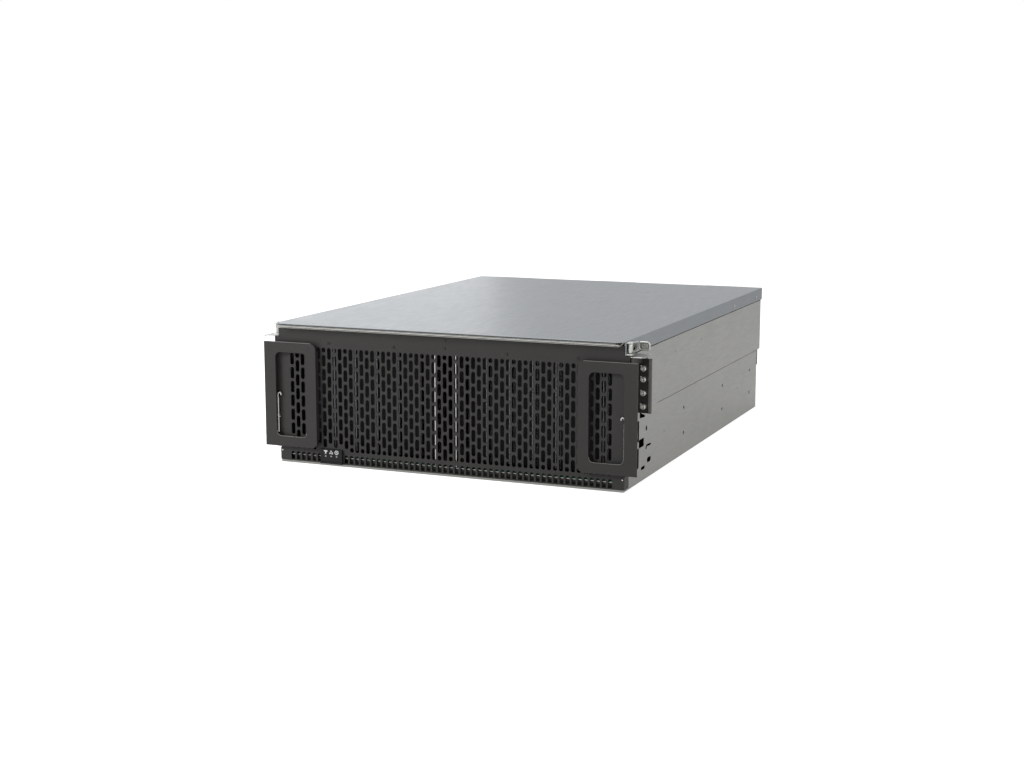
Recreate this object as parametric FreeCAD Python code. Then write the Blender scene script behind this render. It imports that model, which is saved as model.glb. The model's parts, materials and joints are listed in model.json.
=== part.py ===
import FreeCAD, Part
import math
import os

# Disk shelf enclosure for a 19-inch rack: a top-loading shelf four rack units high.
# Sizes are in millimetres. While building, x = 0 is the middle of the width, y = 0 is the
# front face of the perforated panel with +y towards the back, and z = 0 is the underside.
# save() moves every piece so that the origin lies under the middle of the whole shelf.

V = FreeCAD.Vector

# ---- body ----
BODY_W = 447.0
BODY_H = 174.0
SHEET = 1.2
LOWER_DEPTH = 600.0
OVERHANG = 17.0
SEAM_Z = 84.0
SEAM_GAP = 0.4
LAP_H = 12.0
FLOOR_LIP = 2.8
RACK_W = 482.6

# ---- clearances ----
FIT = 0.3
SLIDE_FIT = 0.4
RUN_FIT = 0.05
HOLE_FIT = 0.25
CUT = 1.0
TOUCH = 1e-6

# ---- front panel; a drop is measured down from the top of the cover ----
PANEL_T = 1.5
PANEL_DROP = 5.4
SHOULDER_OUT = 6.0
SHOULDER_Z0 = 19.0
SHOULDER_DROP = 17.5
COLUMN_PITCH = 7.36
COLUMNS_PER_SIDE = 28
SLOT_W = 5.2
SLOT_L = 14.5
SLOT_BAR = 2.8
FIELD_Z0 = 18.5
FIELD_DROP = 28.4
VENT_W = 5.0
VENT_PITCH = 7.4
VENT_Z0 = 3.9
VENT_Z1 = 14.2
PANEL_RETURN_Y = 15.0
PANEL_RETURN_T = 1.0
PANEL_RETURN_Z1 = 18.0
PANEL_SCREW_X = (-155.0, -67.0, 79.0, 167.0)
PANEL_SCREW_DROP = 23.0
CENTRE_SCREW_DROPS = (20.5, 11.0)
SCREW_HEAD_R = 1.7
SCREW_HEAD_T = 0.9
SCREW_SHANK_R = 1.25
SCREW_SHANK_L = 3.5
SOCKET_SHARE = 0.5

# ---- status panel ----
STATUS_X0 = -167.0
STATUS_X1 = -137.5
STATUS_Z0 = 2.6
STATUS_Z1 = 20.8
STATUS_T = 3.0
STATUS_LIP = 1.2
PIPE_R = 1.1
PIPE_Z = 12.2
PIPE_PITCH = 7.5
PIPE_PROUD = 0.2

# ---- handles ----
HANDLE_W = 71.8
HANDLE_Z0 = 20.8
HANDLE_DROP = 23.3
HANDLE_T = 2.0
HANDLE_STAND = 5.0
HANDLE_R = 8.0
GRIP_INNER_RIM = 13.5
GRIP_OUTER_RIM = 15.8
GRIP_END_RIM = 12.9
GRIP_R = 6.5
HANDLE_LEG_T = 1.5
HANDLE_LEG_END = 10.0

# ---- rail release triggers ----
TRIGGER_T = 1.0
TRIGGER_TRAVEL = 1.4
TRIGGER_Z0 = 37.0
TRIGGER_Z1 = 79.0
TRIGGER_LEG_Z0 = 56.0
TRIGGER_LEG_Z1 = 62.0
TRIGGER_LEG_Y = 38.0
TRIGGER_CURL_R = 1.6

# ---- front side plates, rack ears ----
SIDE_PLATE_T = 1.0
SIDE_PLATE_Y = 121.0
SIDE_PLATE_Z0 = 2.4
SIDE_PLATE_DROP = 18.0
PLATE_SLOT_L = 22.0
PLATE_SLOT_H = 4.5
PLATE_SLOT_Y = 54.0
PLATE_SLOT_STEP = 6.0
PLATE_SLOT_HEIGHTS = (74.0, 43.0, 27.0, 12.0)
EAR_Y = 43.0
EAR_T = 2.0
EAR_LEG_Y = 75.0
EAR_ABOVE = 11.05
EAR_LIFT = 1.5
RACK_HOLE_SPAN = 465.1
RACK_HOLE_DROP = 36.05
RACK_HOLE_STEPS = (12.7, 15.875, 15.875)
RACK_SCREW_R = 2.5
RACK_SCREW_NECK_R = 2.2
RACK_SCREW_NECK_L = 3.0
RACK_SCREW_HEAD_R = 3.25
RACK_SCREW_HEAD_T = 5.0
RACK_SCREW_L = 14.0

# ---- catch brackets, cover latches ----
CATCH_T = 1.2
CATCH_GAP = 0.4
CATCH_REACH = 22.5
CATCH_Y0 = 2.0
CATCH_Y1 = 32.0
CATCH_R = 6.0
CATCH_LEG_H = 12.4
LATCH_PIN_OUT = 3.2
LATCH_PIN_Y = 5.0
LATCH_PIN_R = 1.2
LATCH_BARREL_R = 2.6
LATCH_DROP = 3.0
LATCH_H = 11.0
LATCH_T = 1.4
LATCH_ARM_Y = 29.0
LATCH_TAB_OUT = 19.0
LATCH_TAB_R = 3.6
LATCH_OPENING_Y0 = 11.0
LATCH_OPENING_Y1 = 22.0
LATCH_OPENING_RIM = 2.5
LATCH_EYE_W = 5.0
LATCH_EYE_H = 4.0
LATCH_EYE_RIM = 4.0
LUG_T = 1.6
LUG_OUT = 7.0
LUG_HALF_D = 4.0

# ---- top cover, rear hinge ----
COVER_FLANGE_H = 17.0
COVER_LIP = 10.4
COVER_BEVEL = 8.0
COVER_END_GAP = 0.9
STIFFENER_DROP = 2.0
STIFFENER_Y = 14.0
STIFFENER_INSET = 4.0
HINGE_OUT = 4.2
HINGE_DROP = 2.8
HINGE_R = 2.6
HINGE_PIN_R = 1.4
HINGE_LEAF_T = 1.2
HINGE_LEAF_L = 24.0
HINGE_X = (-170.0, 0.0, 170.0)
KNUCKLE_W = 12.0
KNUCKLE_GAP = 0.3
KNUCKLES = 5
COVER_SCREW_BACK = (154.0, 34.0)
COVER_SCREW_DROP = 10.5
HEADER_D = 30.0

# ---- drive bay ----
DRIVE_W = 26.1
DRIVE_D = 101.6
DRIVE_H = 147.0
DRIVE_Z = 14.2
DRIVE_EDGE_R = 2.0
FRONT_PER_SIDE = 7
REAR_PER_ROW = 16
ROWS_FRONT = 2
ROWS_REAR = 2
ROW_START = 27.0
ROW_PITCH = 108.0
BAY_SIDE_GAP = 0.6
PLENUM_HALF = 13.5
DIVIDER_T = 1.0
WALL_DROP = 6.0
CARRIER_W = 22.0
CARRIER_T = 1.5
CARRIER_TOP_T = 2.2
CARRIER_LEVER_INSET = 3.0
CARRIER_LEVER_H = 3.0
CARRIER_LEVER_D = 30.0
BOARD_Z = 5.0
BOARD_T = 1.6
BOARD_MARGIN = 1.0
STANDOFF_R = 3.0
CONNECTOR_X = 5.5
CONNECTOR_Y = 42.0
CONNECTOR_GAP = 0.2
RAIL_LIP_Z = 9.6
RAIL_Y0 = 3.0
RAIL_Y1 = 11.0
WINDOW_W = 15.0
WINDOW_Z0 = 30.0
WINDOW_TOP_RIM = 18.0
WINDOW_R = 3.0

# ---- rear bays ----
SHELF_Z = 58.8
FANS = 4
FAN_DEPTH = 62.0
FAN_PROUD = 1.0
FAN_DROP = 9.4
FAN_BORE_R = 46.0
FAN_MOUTH_R = 10.0
FAN_HUB_R = 19.0
FAN_TIP_GAP = 1.0
FAN_SHAFT_R = 2.0
FAN_BOSS_R = 5.0
FAN_BLADES = 7
FAN_BLADE_CHORD = 24.0
FAN_BLADE_T = 1.8
FAN_BLADE_ANGLE = 38.0
FAN_HUB_DEPTH = 26.0
FAN_WEB_DEPTH = 4.0
FAN_RING_W = 1.6
FAN_RINGS = 3
FAN_SPOKE_W = 3.0
FAN_SPOKE_BITE = 2.0
FAN_SPOKE_ANGLES = (45.0, 135.0, 225.0, 315.0)
FAN_TAB_W = 34.0
FAN_TAB_D = 11.0
FAN_TAB_H = 9.0
FAN_TAB_T = 2.0
BAY_WALL_SET_BACK = 2.0
MODULE_Z = 4.5
MODULE_H = 50.0
MODULE_GAP = 13.0
MODULE_WALL = 1.0
MODULE_MOUTH_R = 0.8
MODULE_WINDOW_RIM = 10.0
MODULE_WINDOW_Z0 = 34.0
MODULE_WINDOW_Z1 = 48.0
FASCIA_T = 2.0
FASCIA_MARGIN = 1.6
IOM_W = 122.0
IOM_SPACE = 2.5
PSU_W = 86.0
PSU_SPACE = 4.5
RUNNER_W = 16.0
SIDE_RUNNER_W = 12.0
PSU_FAN_X = 20.0
PSU_FAN_R = 18.0
GUARD_SHARES = (0.4, 0.72)
GUARD_W = 1.4
INLET_X = -20.0
INLET_W = 27.0
INLET_H = 19.5
INLET_FIT = 0.2
INLET_DEPTH = 18.0
INLET_FRAME = 2.5
INLET_BLADE_DEEP = 6.0
INLET_BLADE_W = 2.0
INLET_BLADE_H = 4.0
INLET_BLADE_PITCH = 6.0
INLET_BLADE_STEP = 2.0
BAIL_ROD_R = 1.5
BAIL_W = 76.0
BAIL_H = 36.0
BAIL_Z = 6.5
BAIL_OUT = 5.0
BAIL_BOSS_W = 4.0
BAIL_BOSS_RIM = 1.0
PORTS = 4
PORT_PITCH = 20.0
PORT_W = 15.0
PORT_Z0 = 28.0
PORT_Z1 = 38.0
PORTS_SHIFT = -14.0
LEVER_T = 2.0
LEVER_H = 8.0
LEVER_L = 52.0
LEVER_LIFT = 4.0
LEVER_TIP = 5.0
LEVER_PIN_R = 1.5
LEVER_PIN_OUT = 5.0
LEVER_EAR_HALF = 4.0
BACKPLANE_GAP = 2.0
PLUG_Z0 = 20.0
PLUG_Z1 = 30.0
PSU_PLUG_W = 40.0
IOM_PLUG_W = 70.0

# ---- side mounting holes ----
RAIL_HOLE_R = 2.25
RAIL_HOLE_Y = (234.0, 415.0, 561.0)
RAIL_HOLE_Z = (27.6, 60.0)
SIDE_RIVET_Y = (153.0, 496.0)
SIDE_RIVET_Z = 44.0
UPPER_RIVET_Y = (196.0, 310.0)
UPPER_RIVET_DROP = 37.2
RIVET_R = 1.8
RIVET_T = 0.6

# ---- worked-out sizes ----
HALF_W = BODY_W / 2
UPPER_DEPTH = LOWER_DEPTH + OVERHANG
INNER_W = HALF_W - SHEET
LAP_X = INNER_W - SHEET
BAY_HALF = LAP_X - BAY_SIDE_GAP
COVER_Z = BODY_H - SHEET
PANEL_TOP = BODY_H - PANEL_DROP
SHOULDER_X = HALF_W + SHOULDER_OUT
SHOULDER_Z1 = BODY_H - SHOULDER_DROP
FIELD_Z1 = BODY_H - FIELD_DROP
HANDLE_X1 = RACK_W / 2
HANDLE_X0 = HANDLE_X1 - HANDLE_W
HANDLE_Z1 = BODY_H - HANDLE_DROP
HANDLE_FRONT = -HANDLE_STAND - HANDLE_T
GRIP_X0 = HANDLE_X0 + GRIP_INNER_RIM
GRIP_X1 = HANDLE_X1 - GRIP_OUTER_RIM
GRIP_Z0 = HANDLE_Z0 + GRIP_END_RIM
GRIP_Z1 = HANDLE_Z1 - GRIP_END_RIM
SIDE_PLATE_X = HALF_W + SIDE_PLATE_T
TRIGGER_X = SIDE_PLATE_X + FIT + TRIGGER_TRAVEL
RACK_HOLE_X = RACK_HOLE_SPAN / 2
RACK_HOLE_TOP = BODY_H - RACK_HOLE_DROP
EAR_Z0 = SEAM_Z + EAR_LIFT
EAR_Z1 = RACK_HOLE_TOP + EAR_ABOVE
COVER_X0 = HALF_W + FIT
COVER_X1 = COVER_X0 + SHEET
COVER_FLANGE_Z = BODY_H - COVER_FLANGE_H
CATCH_X = HALF_W + CATCH_REACH
CATCH_Z = COVER_FLANGE_Z - CATCH_GAP - CATCH_T
LATCH_PIN_X = COVER_X1 + LATCH_PIN_OUT
LATCH_TAB_X = COVER_X1 + LATCH_TAB_OUT
LATCH_Z1 = BODY_H - LATCH_DROP
LATCH_Z0 = LATCH_Z1 - LATCH_H
HINGE_Y = UPPER_DEPTH + HINGE_OUT
HINGE_Z = BODY_H - HINGE_DROP
HINGE_LENGTH = KNUCKLES * KNUCKLE_W + (KNUCKLES - 1) * KNUCKLE_GAP
FAN_REAR = UPPER_DEPTH + FAN_PROUD
REAR_MOST = FAN_REAR + FAN_TAB_D
MID_Y = (REAR_MOST - COVER_LIP) / 2
BAY_END = ROW_START + (ROWS_FRONT + ROWS_REAR) * ROW_PITCH
PLENUM_END = ROW_START + ROWS_FRONT * ROW_PITCH
FRONT_PITCH = (BAY_HALF - PLENUM_HALF - SHEET / 2) / FRONT_PER_SIDE
REAR_PITCH = 2 * BAY_HALF / REAR_PER_ROW
WALL_TOP = BODY_H - WALL_DROP
WINDOW_Z1 = WALL_TOP - WINDOW_TOP_RIM
FAN_BAY_Z = SHELF_Z + SHEET
FAN_PITCH = 2 * LAP_X / FANS
FAN_W = FAN_PITCH - DIVIDER_T - 2 * SLIDE_FIT
FAN_FRONT = FAN_REAR - FAN_DEPTH
FAN_BOTTOM = FAN_BAY_Z + SLIDE_FIT
FAN_TOP = BODY_H - FAN_DROP
FAN_Z = (FAN_BOTTOM + FAN_TOP) / 2
FAN_WEB_Y = FAN_REAR - FAN_WEB_DEPTH
BACKPLANE_Y = BAY_END + BACKPLANE_GAP
MODULE_FRONT = BACKPLANE_Y + MODULE_GAP
MODULE_TOP = MODULE_Z + MODULE_H
MODULE_MIDDLE = (MODULE_Z + MODULE_TOP) / 2
MODULE_BACK = LOWER_DEPTH + FIT + FASCIA_T
REAR_FRAME_Y = LOWER_DEPTH - SHEET
IOM_X = IOM_SPACE + IOM_W / 2
PSU_X = IOM_X + IOM_W / 2 + PSU_SPACE + PSU_W / 2
LEVER_Z0 = MODULE_Z + LEVER_LIFT


def box(x0, x1, y0, y1, z0, z1):
    """A block between two corners, given in either order."""
    xs, ys, zs = sorted((x0, x1)), sorted((y0, y1)), sorted((z0, z1))
    return Part.makeBox(xs[1] - xs[0], ys[1] - ys[0], zs[1] - zs[0], V(xs[0], ys[0], zs[0]))


def rod(r, x, y, z, axis, length):
    """A cylinder from a point along x, y or z."""
    way = {"x": V(1, 0, 0), "y": V(0, 1, 0), "z": V(0, 0, 1)}[axis]
    return Part.makeCylinder(r, length, V(x, y, z), way)


def fuse(pieces):
    """One solid from pieces that touch or overlap."""
    return pieces[0].multiFuse(pieces[1:]).removeSplitter()


def mirror_x(shape):
    """The same piece for the other side of the shelf."""
    return shape.mirror(V(0, 0, 0), V(1, 0, 0))


def sided(shape, side):
    """The right-hand piece for side 1, its mirror image for side -1."""
    return shape if side > 0 else mirror_x(shape)


def rounded_wire(u0, u1, v0, v1, r, place):
    """A rectangle with round corners; place(u, v) turns its two numbers into a point."""
    s = r * (1 - math.sqrt(0.5))
    corners = (
        ((u1 - r, v0), (u1 - s, v0 + s), (u1, v0 + r)),
        ((u1, v1 - r), (u1 - s, v1 - s), (u1 - r, v1)),
        ((u0 + r, v1), (u0 + s, v1 - s), (u0, v1 - r)),
        ((u0, v0 + r), (u0 + s, v0 + s), (u0 + r, v0)),
    )
    edges = []
    for i, arc in enumerate(corners):
        a, m, b = (place(*p) for p in arc)
        edges.append(Part.Arc(a, m, b).toShape())
        following = place(*corners[(i + 1) % 4][0])
        if b.distanceToPoint(following) > TOUCH:
            edges.append(Part.makeLine(b, following))
    return Part.Wire(edges)


def front_wire(x0, x1, z0, z1, r, y):
    return rounded_wire(x0, x1, z0, z1, r, lambda u, v: V(u, y, v))


def slot_wire(x, width, z0, z1, y):
    """An upright slot with half-round ends, facing the front."""
    r = width / 2
    left, right = x - r, x + r
    top, bottom = z1 - r, z0 + r
    edges = [Part.Arc(V(right, y, top), V(x, y, z1), V(left, y, top)).toShape()]
    if top - bottom > TOUCH:
        edges.append(Part.makeLine(V(left, y, top), V(left, y, bottom)))
    edges.append(Part.Arc(V(left, y, bottom), V(x, y, z0), V(right, y, bottom)).toShape())
    if top - bottom > TOUCH:
        edges.append(Part.makeLine(V(right, y, bottom), V(right, y, top)))
    return Part.Wire(edges)


def flat_wire(x0, x1, y0, y1, r, z):
    return rounded_wire(x0, x1, y0, y1, r, lambda u, v: V(u, v, z))


def polygon(points):
    return Part.makePolygon([V(*p) for p in points] + [V(*points[0])])


def plate(outer, holes, way):
    """A sheet: the outer wire less the hole wires, thickened along a vector."""
    face = Part.Face(outer)
    normal = face.normalAt(0, 0)
    inner = []
    for hole in holes:
        same_way = Part.Face(hole).normalAt(0, 0).dot(normal) > 0
        inner.append(hole.reversed() if same_way else hole)
    if inner:
        face.cutHoles(inner)
    return face.extrude(way)


def compound(pieces):
    return Part.makeCompound(pieces)


def save(name, shape):
    """Move a piece into the shelf's own frame and write it."""
    shape = shape.copy()
    shape.translate(V(0, -MID_Y, 0))
    shape.exportStep("parts/" + name + ".step")


# ---------------------------------------------------------------- chassis sheet metal
def base_tray():
    """Floor with a front hem and two low side walls, drilled for the rails."""
    floor = box(-HALF_W, HALF_W, 0, LOWER_DEPTH, 0, SHEET)
    hem = box(-HALF_W, HALF_W, 0, PANEL_T, 0, FLOOR_LIP - FIT)
    walls = []
    for side in (-1, 1):
        walls.append(box(side * INNER_W, side * HALF_W, PANEL_T, LOWER_DEPTH, 0, SEAM_Z - SEAM_GAP / 2))
    shape = fuse([floor, hem] + walls)
    holes = []
    for y in RAIL_HOLE_Y:
        for z in RAIL_HOLE_Z:
            holes.append(rod(RAIL_HOLE_R, -BODY_W, y, z, "x", 2 * BODY_W))
    return shape.cut(holes)


def side_panel(side):
    """Upper side wall, with a lap that runs down inside the tray's wall."""
    z0 = SEAM_Z + SEAM_GAP / 2
    skin = box(INNER_W, HALF_W, PANEL_T, UPPER_DEPTH, z0, COVER_Z - FIT)
    lap = box(LAP_X, INNER_W, PANEL_T, LOWER_DEPTH, SEAM_Z - LAP_H, SEAM_Z + LAP_H)
    return sided(fuse([skin, lap]), side)


def front_side_plate():
    """Stiffening plate outside each front side wall, slotted for the rail's latch."""
    z1 = BODY_H - SIDE_PLATE_DROP
    shape = box(HALF_W, SIDE_PLATE_X, PANEL_T, SIDE_PLATE_Y, SIDE_PLATE_Z0, z1)
    corner = box(HALF_W, SIDE_PLATE_X, PANEL_T, PANEL_RETURN_Y + FIT, 0, PANEL_RETURN_Z1 + FIT)
    slots = [corner]
    for i, z in enumerate(PLATE_SLOT_HEIGHTS):
        y = PLATE_SLOT_Y + i * PLATE_SLOT_STEP
        slots.append(box(HALF_W, SIDE_PLATE_X, y, y + PLATE_SLOT_L, z, z + PLATE_SLOT_H))
    return shape.cut(slots)


def slot_spans(phase, z0, z1):
    """Where the slots of one column start and end."""
    pitch = SLOT_L + SLOT_BAR
    spans = []
    start = FIELD_Z0 - phase
    while start < z1:
        low, high = max(start, z0), min(start + SLOT_L, z1)
        if high - low >= SLOT_W:
            spans.append((low, high))
        start += pitch
    return spans


def vent_wire(x):
    """A lower vent: an upright opening with a half-round top."""
    r = VENT_W / 2
    left, right, shoulder = x - r, x + r, VENT_Z1 - r
    corners = [V(left, 0, shoulder), V(left, 0, VENT_Z0), V(right, 0, VENT_Z0), V(right, 0, shoulder)]
    arch = Part.Arc(corners[3], V(x, 0, VENT_Z1), corners[0]).toShape()
    return Part.Wire([Part.makeLine(corners[i], corners[i + 1]) for i in range(3)] + [arch])


def field_holes():
    """The staggered slots of the whole perforated field."""
    holes = []
    for i in range(-COLUMNS_PER_SIDE, COLUMNS_PER_SIDE + 1):
        x = i * COLUMN_PITCH
        over_status = STATUS_X0 - SLOT_W < x < STATUS_X1 + SLOT_W
        low = STATUS_Z1 + SLOT_BAR / 2 if over_status else FIELD_Z0
        phase = (SLOT_L + SLOT_BAR) / 2 * (i % 2)
        for z0, z1 in slot_spans(phase, low, FIELD_Z1):
            holes.append(slot_wire(x, SLOT_W, z0, z1, 0))
    return holes


def vent_places():
    """Middle x of every lower vent; the status panel takes the place of a few."""
    low, high = STATUS_X0 - VENT_W / 2, STATUS_X1 + VENT_W / 2
    places = [i * VENT_PITCH for i in range(-COLUMNS_PER_SIDE, COLUMNS_PER_SIDE + 1)]
    return [x for x in places if not low < x < high]


def front_panel():
    """Perforated steel panel with wider shoulders that carry the handles."""
    half = [(0, FLOOR_LIP), (HALF_W, FLOOR_LIP), (HALF_W, SHOULDER_Z0), (SHOULDER_X, SHOULDER_Z0)]
    half += [(SHOULDER_X, SHOULDER_Z1), (HALF_W, SHOULDER_Z1), (HALF_W, PANEL_TOP), (0, PANEL_TOP)]
    outline = half[1:-1] + [(-x, z) for x, z in reversed(half[1:-1])]
    outer = polygon([(x, 0, z) for x, z in outline])
    holes = field_holes() + [vent_wire(x) for x in vent_places()]
    for side in (-1, 1):
        u0, u1 = sorted((side * (TRIGGER_X + TRIGGER_T + FIT), side * (TRIGGER_X - TRIGGER_TRAVEL - FIT)))
        v0, v1 = TRIGGER_LEG_Z0 - FIT, TRIGGER_LEG_Z1 + FIT
        holes.append(polygon([(u0, 0, v0), (u1, 0, v0), (u1, 0, v1), (u0, 0, v1)]))
    for x, z in screw_places():
        holes.append(Part.Wire(Part.makeCircle(SCREW_SHANK_R + HOLE_FIT, V(x, 0, z), V(0, 1, 0))))
    sheet = plate(outer, holes, V(0, PANEL_T, 0))
    returns = []
    for side in (-1, 1):
        edge = side * (HALF_W + PANEL_RETURN_T)
        returns.append(box(side * HALF_W, edge, 0, PANEL_RETURN_Y, FLOOR_LIP, PANEL_RETURN_Z1))
    return sheet.multiFuse(returns).Solids[0]


def screw_places():
    """Centres of the screws that hold the panel."""
    places = [(x, BODY_H - PANEL_SCREW_DROP) for x in PANEL_SCREW_X]
    return places + [(0.0, BODY_H - drop) for drop in CENTRE_SCREW_DROPS]


def panel_screws():
    screws = []
    for x, z in screw_places():
        head = rod(SCREW_HEAD_R, x, -SCREW_HEAD_T, z, "y", SCREW_HEAD_T)
        drive = rod(SCREW_HEAD_R * SOCKET_SHARE, x, -SCREW_HEAD_T, z, "y", SCREW_HEAD_T * SOCKET_SHARE)
        screws.append(head.fuse(rod(SCREW_SHANK_R, x, 0, z, "y", SCREW_SHANK_L)).cut(drive))
    return compound(screws)


def handle(side):
    """Flat pull plate with a finger opening, on two legs that stand on the panel."""
    outer = front_wire(HANDLE_X0, HANDLE_X1, HANDLE_Z0, HANDLE_Z1, HANDLE_R, HANDLE_FRONT)
    grip = front_wire(GRIP_X0, GRIP_X1, GRIP_Z0, GRIP_Z1, GRIP_R, HANDLE_FRONT)
    pull = plate(outer, [grip], V(0, HANDLE_T, 0))
    outer_edge = box(HANDLE_X1 - HANDLE_R, HANDLE_X1, HANDLE_FRONT, -HANDLE_STAND, HANDLE_Z0, HANDLE_Z1)
    legs = []
    for x in (HANDLE_X0, SHOULDER_X - HANDLE_LEG_T):
        z0, z1 = HANDLE_Z0 + HANDLE_LEG_END, HANDLE_Z1 - HANDLE_LEG_END
        legs.append(box(x, x + HANDLE_LEG_T, -HANDLE_STAND, 0, z0, z1))
    return sided(fuse([pull, outer_edge] + legs), side)


def rail_trigger(side):
    """Squeeze blade behind the handle, with a leg that runs back beside the rail."""
    x0, x1 = TRIGGER_X, TRIGGER_X + TRIGGER_T
    blade = box(x0, x1, -HANDLE_STAND + FIT, -FIT, TRIGGER_Z0, TRIGGER_Z1)
    leg = box(x0, x1, -FIT, TRIGGER_LEG_Y, TRIGGER_LEG_Z0, TRIGGER_LEG_Z1)
    curl = rod(TRIGGER_CURL_R, x0, -HANDLE_STAND / 2, TRIGGER_Z1 + TRIGGER_CURL_R / 2, "x", TRIGGER_T)
    return sided(fuse([blade, leg, curl]), side)


def rack_hole_heights():
    heights = [RACK_HOLE_TOP]
    for step in RACK_HOLE_STEPS:
        heights.append(heights[-1] - step)
    return heights


def rack_ear(side):
    """Angle that meets the rack's upright, drilled for the rack screws."""
    x0 = SIDE_PLATE_X
    flange = box(x0, RACK_W / 2, EAR_Y, EAR_Y + EAR_T, EAR_Z0, EAR_Z1)
    leg = box(x0, x0 + EAR_T, EAR_Y, EAR_LEG_Y, EAR_Z0, EAR_Z1 - CATCH_T)
    shape = fuse([flange, leg])
    holes = []
    for z in rack_hole_heights():
        holes.append(rod(RACK_SCREW_R + HOLE_FIT, RACK_HOLE_X, EAR_Y - CUT, z, "y", EAR_T + 2 * CUT))
    return sided(shape.cut(holes), side)


def rack_screws():
    """Captive screws through the ears: head, thin neck in the ear, thread behind it."""
    screws = []
    for side in (-1, 1):
        for z in rack_hole_heights():
            x = side * RACK_HOLE_X
            front = EAR_Y - RACK_SCREW_HEAD_T
            thread_y = EAR_Y + RACK_SCREW_NECK_L
            head = rod(RACK_SCREW_HEAD_R, x, front, z, "y", RACK_SCREW_HEAD_T)
            neck = rod(RACK_SCREW_NECK_R, x, EAR_Y, z, "y", RACK_SCREW_NECK_L)
            thread = rod(RACK_SCREW_R, x, thread_y, z, "y", RACK_SCREW_L - RACK_SCREW_NECK_L)
            drive = rod(RACK_SCREW_R * SOCKET_SHARE, x, front, z, "y", RACK_SCREW_HEAD_T * SOCKET_SHARE)
            screws.append(head.fuse([neck, thread]).cut(drive))
    return compound(screws)


def catch_brackets():
    """Bright angle outside each front corner, just under the cover latch."""
    pieces = []
    for side in (-1, 1):
        x0 = SIDE_PLATE_X
        wire = flat_wire(x0 - CATCH_R, CATCH_X, CATCH_Y0 - CATCH_R, CATCH_Y1, CATCH_R, CATCH_Z)
        ledge = plate(wire, [], V(0, 0, CATCH_T))
        ledge = ledge.common(box(x0, CATCH_X, CATCH_Y0, CATCH_Y1, CATCH_Z, CATCH_Z + CATCH_T))
        leg = box(x0, x0 + CATCH_T, CATCH_Y0, EAR_Y - FIT, CATCH_Z - CATCH_LEG_H, CATCH_Z)
        pieces.append(sided(fuse([ledge, leg]), side))
    return compound(pieces)


def status_panel():
    """Small moulded block that carries the state lights, with a rounded lower lip."""
    body = box(STATUS_X0, STATUS_X1, -STATUS_T, 0, STATUS_Z0, STATUS_Z1)
    lip_z = STATUS_Z0 + STATUS_LIP
    lip = rod(STATUS_LIP, STATUS_X0, -STATUS_T, lip_z, "x", STATUS_X1 - STATUS_X0)
    holes = []
    for x in pipe_places():
        holes.append(rod(PIPE_R + HOLE_FIT, x, -STATUS_T - CUT, PIPE_Z, "y", STATUS_T + 2 * CUT))
    return fuse([body, lip]).cut(holes)


def pipe_places():
    middle = (STATUS_X0 + STATUS_X1) / 2
    return [middle - PIPE_PITCH, middle, middle + PIPE_PITCH]


def status_light_pipes():
    length = STATUS_T + PIPE_PROUD
    return compound([rod(PIPE_R, x, -length, PIPE_Z, "y", length) for x in pipe_places()])


def front_cross_rail():
    """Bright angle across the floor behind the lower vents."""
    x = INNER_W - FIT
    foot = box(-x, x, RAIL_Y0, RAIL_Y1, SHEET, 2 * SHEET)
    wall = box(-x, x, RAIL_Y1 - SHEET, RAIL_Y1, SHEET, RAIL_LIP_Z)
    lip = box(-x, x, RAIL_Y0, RAIL_Y1, RAIL_LIP_Z - SHEET, RAIL_LIP_Z)
    return fuse([foot, wall, lip])


def side_rivets():
    """Flat-headed rivets on the two side walls."""
    rivets = []
    for side in (-1, 1):
        x = HALF_W if side > 0 else -HALF_W - RIVET_T
        for y in SIDE_RIVET_Y:
            rivets.append(rod(RIVET_R, x, y, SIDE_RIVET_Z, "x", RIVET_T))
        for y in UPPER_RIVET_Y:
            rivets.append(rod(RIVET_R, x, y, BODY_H - UPPER_RIVET_DROP, "x", RIVET_T))
    return compound(rivets)


# ---------------------------------------------------------------- top cover
def top_cover():
    """One full-length sheet with side flanges and a bevelled front lip."""
    w, b = COVER_X1, COVER_BEVEL
    y1 = UPPER_DEPTH + COVER_END_GAP
    outline = [(-w + b, -COVER_LIP), (w - b, -COVER_LIP), (w, -COVER_LIP + b), (w, y1)]
    outline += [(-w, y1), (-w, -COVER_LIP + b)]
    top = plate(polygon([(x, y, COVER_Z) for x, y in outline]), [], V(0, 0, SHEET))
    flanges = []
    for side in (-1, 1):
        flanges.append(box(side * COVER_X0, side * COVER_X1, 0, y1, COVER_FLANGE_Z, BODY_H))
    return fuse([top] + flanges)


def cover_stiffener():
    """Folded strip under the front lip."""
    x = HALF_W - STIFFENER_INSET
    z0 = COVER_Z - STIFFENER_DROP - SHEET
    y0 = -COVER_LIP + SHEET
    strip = box(-x, x, y0, STIFFENER_Y, z0, z0 + SHEET)
    web = box(-x, x, STIFFENER_Y - SHEET, STIFFENER_Y, z0, COVER_Z)
    return fuse([strip, web])


def cover_screws():
    """Small screws in the cover's side flanges."""
    screws = []
    for side in (-1, 1):
        x = COVER_X1 if side > 0 else -COVER_X1 - RIVET_T
        for back in COVER_SCREW_BACK:
            z = BODY_H - COVER_SCREW_DROP
            screws.append(rod(SCREW_HEAD_R, x, UPPER_DEPTH - back, z, "x", RIVET_T))
    return compound(screws)


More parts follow.
